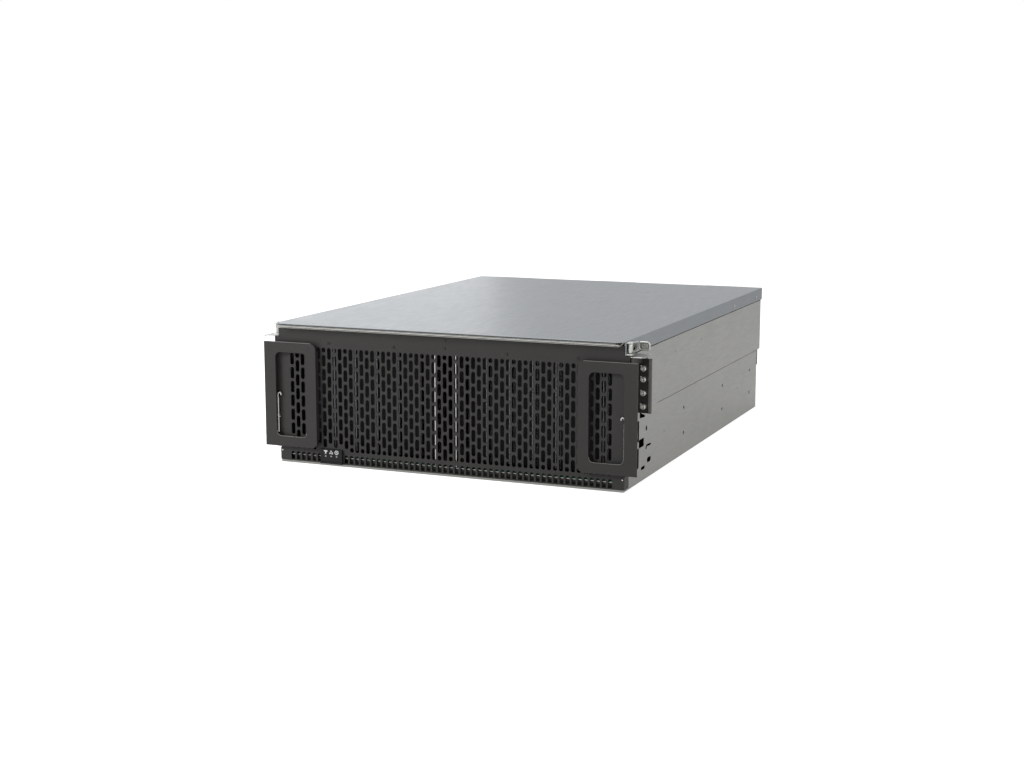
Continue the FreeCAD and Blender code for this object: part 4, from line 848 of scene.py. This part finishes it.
CORNER_X, CORNER_Z = 222.0, 14.6    # the panel's lower corners
rivet = turned([(0.9, 0), (0.9, 0.3), (0.5, 0.6)], 12)
corner_rivets = [at(sign * CORNER_X, 0, CORNER_Z) for sign in (-1, 1)]
set_on("panel_corner_rivets", rivet, corner_rivets, FACE_FRONT, "chassis", "bright_steel",
       material=BRIGHT_HEAD)

SIDE_RIVET_R, COVER_SCREW_R = 1.8, 1.7
for node_name, body in (("side_rivets", "chassis"), ("cover_screws", "cover")):
    for label, turn, sign in (("right", FACE_RIGHT, 1), ("left", FACE_LEFT, -1)):
        found = [b for b in islands(node_name) if middle(b).x * sign > 0]
        wall_x = min(abs(b[0].x) for b in found + [(b[1], b[0]) for b in found])
        spots = [Vector((wall_x * sign, middle(b).y, middle(b).z)) for b in found]
        if body == "cover":
            head = low_head(COVER_SCREW_R, 0.7)
        else:
            head = turned([(SIDE_RIVET_R, 0), (1.7, 0.3), (1.1, 0.55), (0.5, 0.6)])
        set_on(f"{node_name}_{label}_heads", head, spots, turn, body, SLOT_OF[node_name],
               [node_name], ANY_TWIST, 3)

# %% [markdown]
# ## The rail release triggers
# Behind each handle a sprung strip of bright steel stands on edge, and its top is curled into a
# hook for the finger. Wire and strip edges like this are a line of points with a round bevel.

# %% Triggers
STRIP_EDGE = 1.05  # radius of the curled edge
STRIP_Y = -3.0     # in front of the panel's face


def trigger(side):
    """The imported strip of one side, with its curled edge and hook added."""
    name = f"rail_trigger_{side}"
    whole = welded(name)
    sign = 1 if side == "right" else -1
    low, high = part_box(name)
    bottom, top = low.z / MM + 1, high.z / MM - 2
    line = [(224.9, bottom), (224.9, top), (225.4, top + 4), (224.6, top + 7)]
    line += [(222.4, top + 8), (220.8, top + 6.5), (221.0, top + 4.6)]
    bead = upright(rolled([at(sign * x, STRIP_Y, z) for x, z in line], STRIP_EDGE, False))
    mesh = bpy.data.meshes.new("bead")
    bead.to_mesh(mesh)
    bead.free()
    whole.from_mesh(mesh)
    return piece(f"trigger_strip_{side}", whole, f"trigger_{side}", "bright_steel", [name], 0.15)


for side in ("left", "right"):
    trigger(side)
print("triggers: 2")

# %% [markdown]
# ## Edges that catch the light
# Sheared edges of plated sheet shine where they face the light: the lip of the cross rail behind
# the low vents, the two air-duct walls that run up to the panel, the folded lip of the cover and
# the catch brackets. Pale lines along the handle's top and grip are painted highlights. Beside them
# go a dark line under the cover's side, which is painted shadow, and the gusset and bright strip of
# each ear.

# %% Edges and duct fronts
HALF_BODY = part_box("base_tray")[1].x / MM
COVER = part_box("top_cover")
COVER_TOP = COVER[1].z / MM
LIP_Y = (COVER[0].y - FRONT_Y) / MM
RAIL_LIP_Y, RAIL_LIP_Z = 2.35, 10.6
RAIL_LIP_END = 6  # from the lip's end to the wall
rail_ends = (-HALF_BODY + RAIL_LIP_END, HALF_BODY - RAIL_LIP_END)
rail_lip = rolled([at(x, RAIL_LIP_Y, RAIL_LIP_Z) for x in rail_ends], 0.5, False)
piece("cross_rail_bright_lip", rail_lip, "chassis", "bright_steel")
DUCT_HALF = 0.6   # half of the wall's thickness
DUCT_FRONT, DUCT_LOW, DUCT_HIGH = 1.9, 12, 160
fronts = []
for box in islands("plenum_walls"):
    wall_x = middle(box).x / MM
    wall_y = (box[0].y - FRONT_Y) / MM
    fronts.append(block(wall_x - DUCT_HALF, wall_x + DUCT_HALF, DUCT_FRONT, wall_y, DUCT_LOW,
                        DUCT_HIGH))
piece("duct_wall_fronts", upright(*fronts), "chassis", "bright_steel", (), 0.15)
COVER_HALF = COVER[1].x / MM
lip = [(-COVER_HALF + 7, 0.8), (COVER_HALF - 9.5, 0.8)]
lip_line = rolled([at(x, LIP_Y + 0.5, COVER_TOP - 1.6 - drop) for x, drop in lip], 0.35, False)
hook = [(-COVER_HALF + 5, 5.2), (COVER_HALF - 6.5, 5.2), (COVER_HALF - 3.4, 3.9)]
hook += [(COVER_HALF - 1.0, 1.6), (COVER_HALF - 0.5, 0.7)]
hook_line = rolled([at(x, 0.9 * LIP_Y, COVER_TOP - drop) for x, drop in hook], 0.32, False)
piece("cover_front_edge", upright(lip_line, hook_line), "cover", "cover_steel",
      material=BRIGHT_STEEL)
BRACKETS = islands("catch_brackets")
BRACKET_BEAD, HIGHLIGHT_BEAD = 0.6, 0.34  # radii
# The line under the cover's side is painted shadow: a matt black bead where the cover's side shades
# the wall.
SHADOW_LINE_DROP = 17.3    # from the cover's top to the seal under its side
GUSSET_END = 42.4   # from the panel's face to the ear
STRIP_X, STRIP_Y_RANGE, STRIP_Z_RANGE = (238.0, 241.2), (42.6, 43.0), (86.2, 148.6)
shelf_z = BRACKETS[0][1].z / MM - BRACKET_BEAD
reach = BRACKETS[0][0].x / MM
front_y = (BRACKETS[0][0].y - FRONT_Y) / MM
for side, sign in (("right", 1), ("left", -1)):
    turn_x = HALF_BODY + 5.5
    run = [(turn_x, shelf_z - 6), (turn_x, shelf_z - 0.8)]
    run += [(turn_x + 0.8, shelf_z), (-reach - 3, shelf_z)]
    edge = rolled([at(sign * x, front_y - 0.1, z) for x, z in run], BRACKET_BEAD, False)
    piece(f"catch_edge_{side}", edge, "chassis", "bright_steel", material=BRIGHT_HEAD)
    # Painted shadow along the foot of the cover's side.
    shadow_x = sign * (COVER_HALF - 0.6)
    shadow_run = (1, (COVER[1].y - FRONT_Y) / MM - 6)
    shadow_line = rolled([at(shadow_x, y, COVER_TOP - SHADOW_LINE_DROP) for y in shadow_run], 0.45, False)
    piece(f"cover_seal_{side}", shadow_line, "cover", "black_plastic", material=PAINTED_SHADE_BLACK)
    gusset = block(sign * (HALF_BODY + 6.9), sign * (HALF_BODY + 7.3), front_y, GUSSET_END,
                   shelf_z - 11, shelf_z - 1.2)
    piece(f"ear_gusset_{side}", gusset, "chassis", "black_paint", (), 0.1)
    low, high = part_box(f"handle_{side}")
    x0, x1 = sorted((abs(low.x / MM), abs(high.x / MM)))
    face, top, bottom = (low.y - FRONT_Y) / MM, high.z / MM, low.z / MM
    # Pale beads along the top and the grip's rim: painted highlight on the black coat.
    crest_line = [at(sign * x, face + 0.2, top - 0.25) for x in (x0 + 7, x1 - 0.4)]
    crest = rolled(crest_line, HIGHLIGHT_BEAD, False)
    grip = [(x0 + 14, bottom + 19), (x0 + 14.6, bottom + 15.6), (x0 + 17, bottom + 13.4)]
    grip += [(x0 + 20.5, bottom + 12.9), (x1 - 22.8, bottom + 12.9), (x1 - 19, bottom + 13.6)]
    grip += [(x1 - 16.6, bottom + 16), (x1 - 16, bottom + 19.5)]
    rim = rolled([at(sign * x, face + 0.3, z - 0.15) for x, z in grip], HIGHLIGHT_BEAD, False)
    piece(f"handle_worn_edges_{side}", upright(crest, rim), "chassis", "black_paint",
          material=HIGHLIGHT_COAT)
    strip = block(sign * STRIP_X[0], sign * STRIP_X[1], *STRIP_Y_RANGE, *STRIP_Z_RANGE)
    piece(f"ear_edge_strip_{side}", strip, "chassis", "plated_steel", (), 0.12)
print("edges: 3 across the front and 5 on each side, cover lip at y", round(LIP_Y, 1))

# %% [markdown]
# ## Status symbols
# Three marks are pad-printed over the status lights: a power mark, a warning triangle and a ring
# with a bar. They are plain symbols, cut as thin plates of ink so that they stay sharp.

# %% Symbols
PIPES = islands("status_light_pipes")
INK_THICK = 0.16
INK_RIM = 0.04
INK_SCALE = 1.3  # the marks are drawn a little small, and grown about their own middles
SYMBOL_Z = 17.3
body_y = (PIPES[0][0].y - FRONT_Y) / MM


def circle(cx, cy, r, steps=16):
    """Points of a circle, in millimetres."""
    turns = [2 * math.pi * i / steps for i in range(steps)]
    return [(cx + r * math.cos(t), cy + r * math.sin(t)) for t in turns]


x = middle(PIPES[0]).x / MM
power = [(x - 2.0, 18.9), (x - 2.0, 17.9), (x - 0.6, 17.5), (x - 0.6, 15.6)]
power += [(x + 0.6, 15.6), (x + 0.6, 17.5), (x + 2.0, 17.9), (x + 2.0, 18.9)]
x = middle(PIPES[1]).x / MM
warning = [(x - 2.3, 15.7), (x + 2.3, 15.7), (x, 19.3)]
inner = [(x - 1.1, 16.4), (x, 18.1), (x + 1.1, 16.4)]
x = middle(PIPES[2]).x / MM
drawn = ((0, power), (1, warning), (1, inner))
drawn += ((2, circle(x, SYMBOL_Z, 2.1)), (2, circle(x, SYMBOL_Z, 1.4)))
marks = []
for i, mark in drawn:
    own = middle(PIPES[i]).x / MM
    marks.append([(own + (u - own) * INK_SCALE, SYMBOL_Z + (v - SYMBOL_Z) * INK_SCALE)
                  for u, v in mark])
ink = pressed(marks, INK_THICK, INK_RIM)
slash = [(x - 2.1, 18.6), (x - 1.5, 19.2), (x + 2.1, 16.0), (x + 1.5, 15.4)]
bar = pressed([slash], INK_THICK, INK_RIM)
stand = facing(at(0, body_y + 0.12, 0), (1, 0, 0), (0, 0, 1))
piece("status_symbols", joined([(ink, stand), (bar, stand)]), "chassis", "light_pipe",
      material=WHITE_INK)
print("symbols: 3, at y", round(body_y, 2))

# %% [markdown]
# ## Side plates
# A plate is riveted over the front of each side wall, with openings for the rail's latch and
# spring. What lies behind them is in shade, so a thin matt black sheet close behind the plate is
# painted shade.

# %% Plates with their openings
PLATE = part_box("front_side_plates")
PLATE_TOP = PLATE[1].z / MM
PLATE_END = (PLATE[1].y - FRONT_Y) / MM
PLATE_FACE = PLATE[1].x / MM
PLATE_FOOT = 2.4
STEP_Y, STEP_Z = 15.3, 18.3  # the corner that clears the panel's foot
PLATE_FRONT = 1.5
outline = [(STEP_Y, PLATE_FOOT), (PLATE_END, PLATE_FOOT), (PLATE_END, PLATE_TOP)]
outline += [(PLATE_FRONT, PLATE_TOP), (PLATE_FRONT, STEP_Z), (STEP_Y, STEP_Z)]
openings = [
    # each is (y, z) points in millimetres, from the front and from the floor
    [(53, 84), (53, 77), (73, 75.5), (73, 77.5)],
    circle(79, 61, 3.0, 12),
    ring(60.5, 46.5, 19, 10, 1.5),
    [(76, 37), (80, 35.5), (82, 38.6), (97, 38), (97, 40.4), (80, 41.2)],
    ring(90, 21.6, 15, 6, 2.9),
    ring(67.5, 15.6, 14, 4, 1.8),
    ring(48.4, 62, 6.4, 25, 2),
    ring(48.4, 30, 6.4, 24, 2),
]
for side, sign in (("right", 1), ("left", -1)):
    flip = Matrix.Diagonal((sign, 1, 1, 1))
    skin = pressed([outline] + openings, 1.0, 0.2)
    stand = flip @ facing(at(PLATE_FACE - 0.5, 0, 0), (0, 1, 0), (0, 0, 1))
    # Painted shade: a thin matt black sheet close behind the plate's openings.
    shade_sheet = pressed([ring(68, 50, 66, 76, 3)], 0.3, 0.1)
    behind = flip @ facing(at(PLATE_FACE - 0.82, 0, 0), (0, 1, 0), (0, 0, 1))
    piece(f"side_plate_{side}", joined([(skin, stand)]), "chassis", "plated_steel",
          ["front_side_plates"])
    piece(f"rail_latch_liner_{side}", joined([(shade_sheet, behind)]), "chassis", "black_plastic",
          material=PAINTED_SHADE_BLACK)
print("side plates: 2, with", len(openings), "openings each")

# %% [markdown]
# ## The back
# The back is what a technician touches: four fan modules above, two power supplies outside, and two
# data modules between them. Touch points are blue, so that a hand finds them in the dark. Small
# lamps, screws and the metal cages of the data ports are the details that make it read as real.

# %% Fan modules
TAB_DEPTH = 11.0  # how far the blue touch point stands out behind the grille
FAN_SCREW_X, FAN_SCREW_Z = 46, 44  # from the fan's middle
PAD_HALF = 15.5   # half of the touch point's width
BACK = Matrix.Rotation(math.radians(-90), 4, "X")


def on_back(x, y, z):
    """Stand a turned part on a rear face, with its own z axis pointing out of the back."""
    return Matrix.Translation(at(x, y, z)) @ BACK


for i in range(1, 5):
    body = f"fan_module_{i}"
    low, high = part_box(f"fan_housing_{i}")
    x = (low.x + high.x) / 2 / MM
    rear = (high.y - FRONT_Y) / MM - TAB_DEPTH
    z0, z1 = low.z / MM, high.z / MM
    z = (z0 + z1) / 2
    cap = turned([(15.5, -0.2), (15.5, 0.7), (14.6, 1.3), (6.0, 1.5), (5.4, 1.0), (0.8, 1.0)])
    piece(f"fan_hub_cap_{i}", joined([(cap, on_back(x, rear, z))]), body, "black_plastic")
    parts = [(low_head(2.6, 1.4), on_back(x + u, rear, z + v))
             for u in (-FAN_SCREW_X, FAN_SCREW_X) for v in (-FAN_SCREW_Z, FAN_SCREW_Z)]
    piece(f"fan_screws_{i}", joined(parts), body, "bright_steel")
    tab_y = rear + TAB_DEPTH
    pad = block(x - PAD_HALF, x + PAD_HALF, tab_y - 2.4, tab_y + 0.5, z0 + 3.4, z0 + 9.0)
    piece(f"fan_touch_point_{i}", pad, body, "blue_plastic", (), 0.3)
    lamp = (turned([(1.6, -0.3), (1.6, 0.5), (1.1, 0.9)], 12), on_back(x + 40, rear, z0 + 6))
    piece(f"fan_lamp_{i}", joined([lamp]), body, "light_pipe", material=GREEN_PIPE)
print("fan modules dressed: 4")

# %% [markdown]
# ## Data modules
# Each module has four ports. A port is a pressed cage with a hole, two cheeks, a row of
# gold-flashed contacts and two lamps above. The record says where the ports are.

# %% Data modules
CONTACTS, CONTACT_PITCH = 8, 1.45
CHEEKS = (-6.9, 6.6)               # left side of each cheek, from the port's middle
LAMP_ASIDE, LAMP_ABOVE = 2.2, 7.6  # from the port's middle
VENT_SLOTS, VENT_PITCH = 4, 4.2
PORT_BOXES = {hole["name"]: hole["box_m"] for hole in RECORD["physics"]["openings"]
              if hole["name"].startswith("data_port")}
for side in ("left", "right"):
    body = f"io_module_{side}"
    low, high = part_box(f"io_{side}_case")
    face = (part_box(f"psu_{side}_inlet")[1].y - FRONT_Y) / MM
    cages, pins, lamps = [], [], []
    for name, (a, b) in PORT_BOXES.items():
        if side not in name:
            continue
        x = (a[0] + b[0]) / 2 / MM
        z = (a[2] + b[2]) / 2 / MM
        mouth = pressed([ring(x, z, 16.4, 11.4, 0.8), ring(x, z, 13.6, 8.6, 0.5)], 0.8, 0.15)
        cages.append((mouth, facing(at(0, face + 0.2, 0), (1, 0, 0), (0, 0, 1))))
        for u in CHEEKS:
            cages.append((block(x + u, x + u + 0.3, face - 9, face, z - 4.4, z + 4.4), UPRIGHT))
        for k in range(CONTACTS):
            u = x - 5.2 + k * CONTACT_PITCH
            pins.append((block(u, u + 0.6, face - 9, face - 3, z - 2.6, z - 2.2), UPRIGHT))
        for u in (-LAMP_ASIDE, LAMP_ASIDE):
            lamp = turned([(0.8, -0.2), (0.8, 0.25), (0.5, 0.4)], 10)
            lamps.append((lamp, on_back(x + u, face, z + LAMP_ABOVE)))
    piece(f"port_cages_{side}", joined(cages), body, "bright_steel")
    piece(f"port_contacts_{side}", joined(pins), body, "bright_steel", material=GOLD_CONTACT)
    piece(f"port_lamps_{side}", joined(lamps), body, "light_pipe", material=GREEN_PIPE)
    x0, x1, z1 = low.x / MM, high.x / MM, high.z / MM
    screws = [(low_head(2.4, 1.2), on_back(x, face, z))
              for x in (x0 + 5, x1 - 5) for z in (9, z1 - 5)]
    piece(f"io_screws_{side}", joined(screws), body, "bright_steel")
    # The vent slots are thin black plates on the face, not holes: painted shade where the openings
    # are.
    slots = [pressed([ring(x1 - 24 + k * VENT_PITCH, 33, 2.0, 13, 0.95)], 0.25, 0.08)
             for k in range(VENT_SLOTS)]
    stand = facing(at(0, face + 0.02, 0), (1, 0, 0), (0, 0, 1))
    piece(f"io_vent_slots_{side}", joined([(slot, stand) for slot in slots]), body, "black_plastic")
print("data modules dressed: 2, ports", len(PORT_BOXES))

# %% [markdown]
# ## Power supplies
# Behind each grille a small fan of seven tilted blades shows. Four screws, a lamp and a blue
# release catch finish the face.

# %% Power supplies
PSU_BLADES = 7
BLADE_TILT = math.radians(40)
PSU_SCREW = 16  # from the fan's middle, both ways
for side in ("left", "right"):
    body = f"psu_{side}"
    low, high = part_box(f"psu_{side}_case")
    face = (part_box(f"psu_{side}_inlet")[1].y - FRONT_Y) / MM
    x0, x1, z0, z1 = low.x / MM, high.x / MM, low.z / MM, high.z / MM
    fan_x, fan_z = (x0 + x1) / 2 + 20, (z0 + z1) / 2
    hub = turned([(7.5, -9), (7.5, -3), (6.8, -2.2), (1.5, -2.2)])
    parts = [(hub, on_back(fan_x, face, fan_z))]
    tilt = Matrix.Rotation(BLADE_TILT, 4, "X")
    for k in range(PSU_BLADES):
        blade = brick(6.5, 17.0, -4.2, 4.2, -0.5, 0.5)
        turn = Matrix.Rotation(2 * math.pi * k / PSU_BLADES, 4, "Y") @ tilt
        parts.append((blade, Matrix.Translation(at(fan_x, face - 6.5, fan_z)) @ turn))
    piece(f"psu_fan_{side}", joined(parts), body, "carrier_plastic", (), 0.1)
    screws = [(low_head(2.2, 1.1), on_back(fan_x + u, face, fan_z + v))
              for u in (-PSU_SCREW, PSU_SCREW) for v in (-PSU_SCREW, PSU_SCREW)]
    piece(f"psu_screws_{side}", joined(screws), body, "bright_steel")
    lamp = (turned([(1.5, -0.2), (1.5, 0.4), (1.0, 0.7)], 12), on_back(x0 + 7, face, z1 - 6))
    piece(f"psu_lamp_{side}", joined([lamp]), body, "light_pipe", material=GREEN_PIPE)
    button = block(x0 + 3, x0 + 12, face, face + 2.2, 9, 17)
    rib = block(x0 + 4, x0 + 11, face + 2.2, face + 3.6, 12, 13.4)
    piece(f"psu_release_{side}", upright(button, rib), body, "blue_plastic", (), 0.3)
print("power supplies dressed: 2")

# %% [markdown]
# ## Drive carriers
# With the cover up, sixty carriers show their tops. Each has a lever with finger ribs, a blue
# touch pad, two lamps and a blank label. One small part of each is enough, set on every carrier by
# the same tree.

# %% Carrier tops
carrier_boxes = islands("carriers_front_rows") + islands("carriers_rear_rows")
lever_places = [Vector((middle(b).x, b[0].y, b[1].z)) for b in carrier_boxes]
RIBS, RIB_PITCH = 5, 3.4
ribs = [brick(-6.5, 6.5, 9 + k * RIB_PITCH, 10.2 + k * RIB_PITCH, -0.1, 0.7) for k in range(RIBS)]
lamps = [brick(u - 0.9, u + 0.9, 94, 97, -3.2, -2.6) for u in (-4, 4)]
pads = [brick(-6.0, 6.0, 2.8, 7.4, -0.1, 0.9)]
labels = [brick(-8.0, 8.0, 42, 84, -3.2, -2.85)]
for name, parts, slot_name, material in (
    ("carrier_lever_ribs", ribs, "carrier_plastic", None),
    ("carrier_lamps", lamps, "light_pipe", GREEN_PIPE),
    ("carrier_touch_pads", pads, "blue_plastic", None),
    ("carrier_blank_labels", labels, "light_pipe", WHITE_INK),
):
    set_on(name, upright(*parts), lever_places, FACE_UP, "chassis", slot_name, material=material)

# %% [markdown]
# ## Cutting the edges
# The Bevel modifiers come last, because every tree above looks at the whole scene when it is
# evaluated, and would have to cut all of these edges again each time.

# %% Bevels
for obj, width, segments in TO_ROUND:
    cut = obj.modifiers.new("round_edges", "BEVEL")
    cut.width = width * MM
    cut.segments = segments
    cut.limit_method = "ANGLE"
    cut.angle_limit = SHARP
    cut.harden_normals = True
print("bevels:", len(TO_ROUND))

# %% [markdown]
# ## The sizes
# The size of the dressed scene is printed.

# %% Print the size
low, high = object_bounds()
print("size", [round(c, 4) for c in (high - low)])
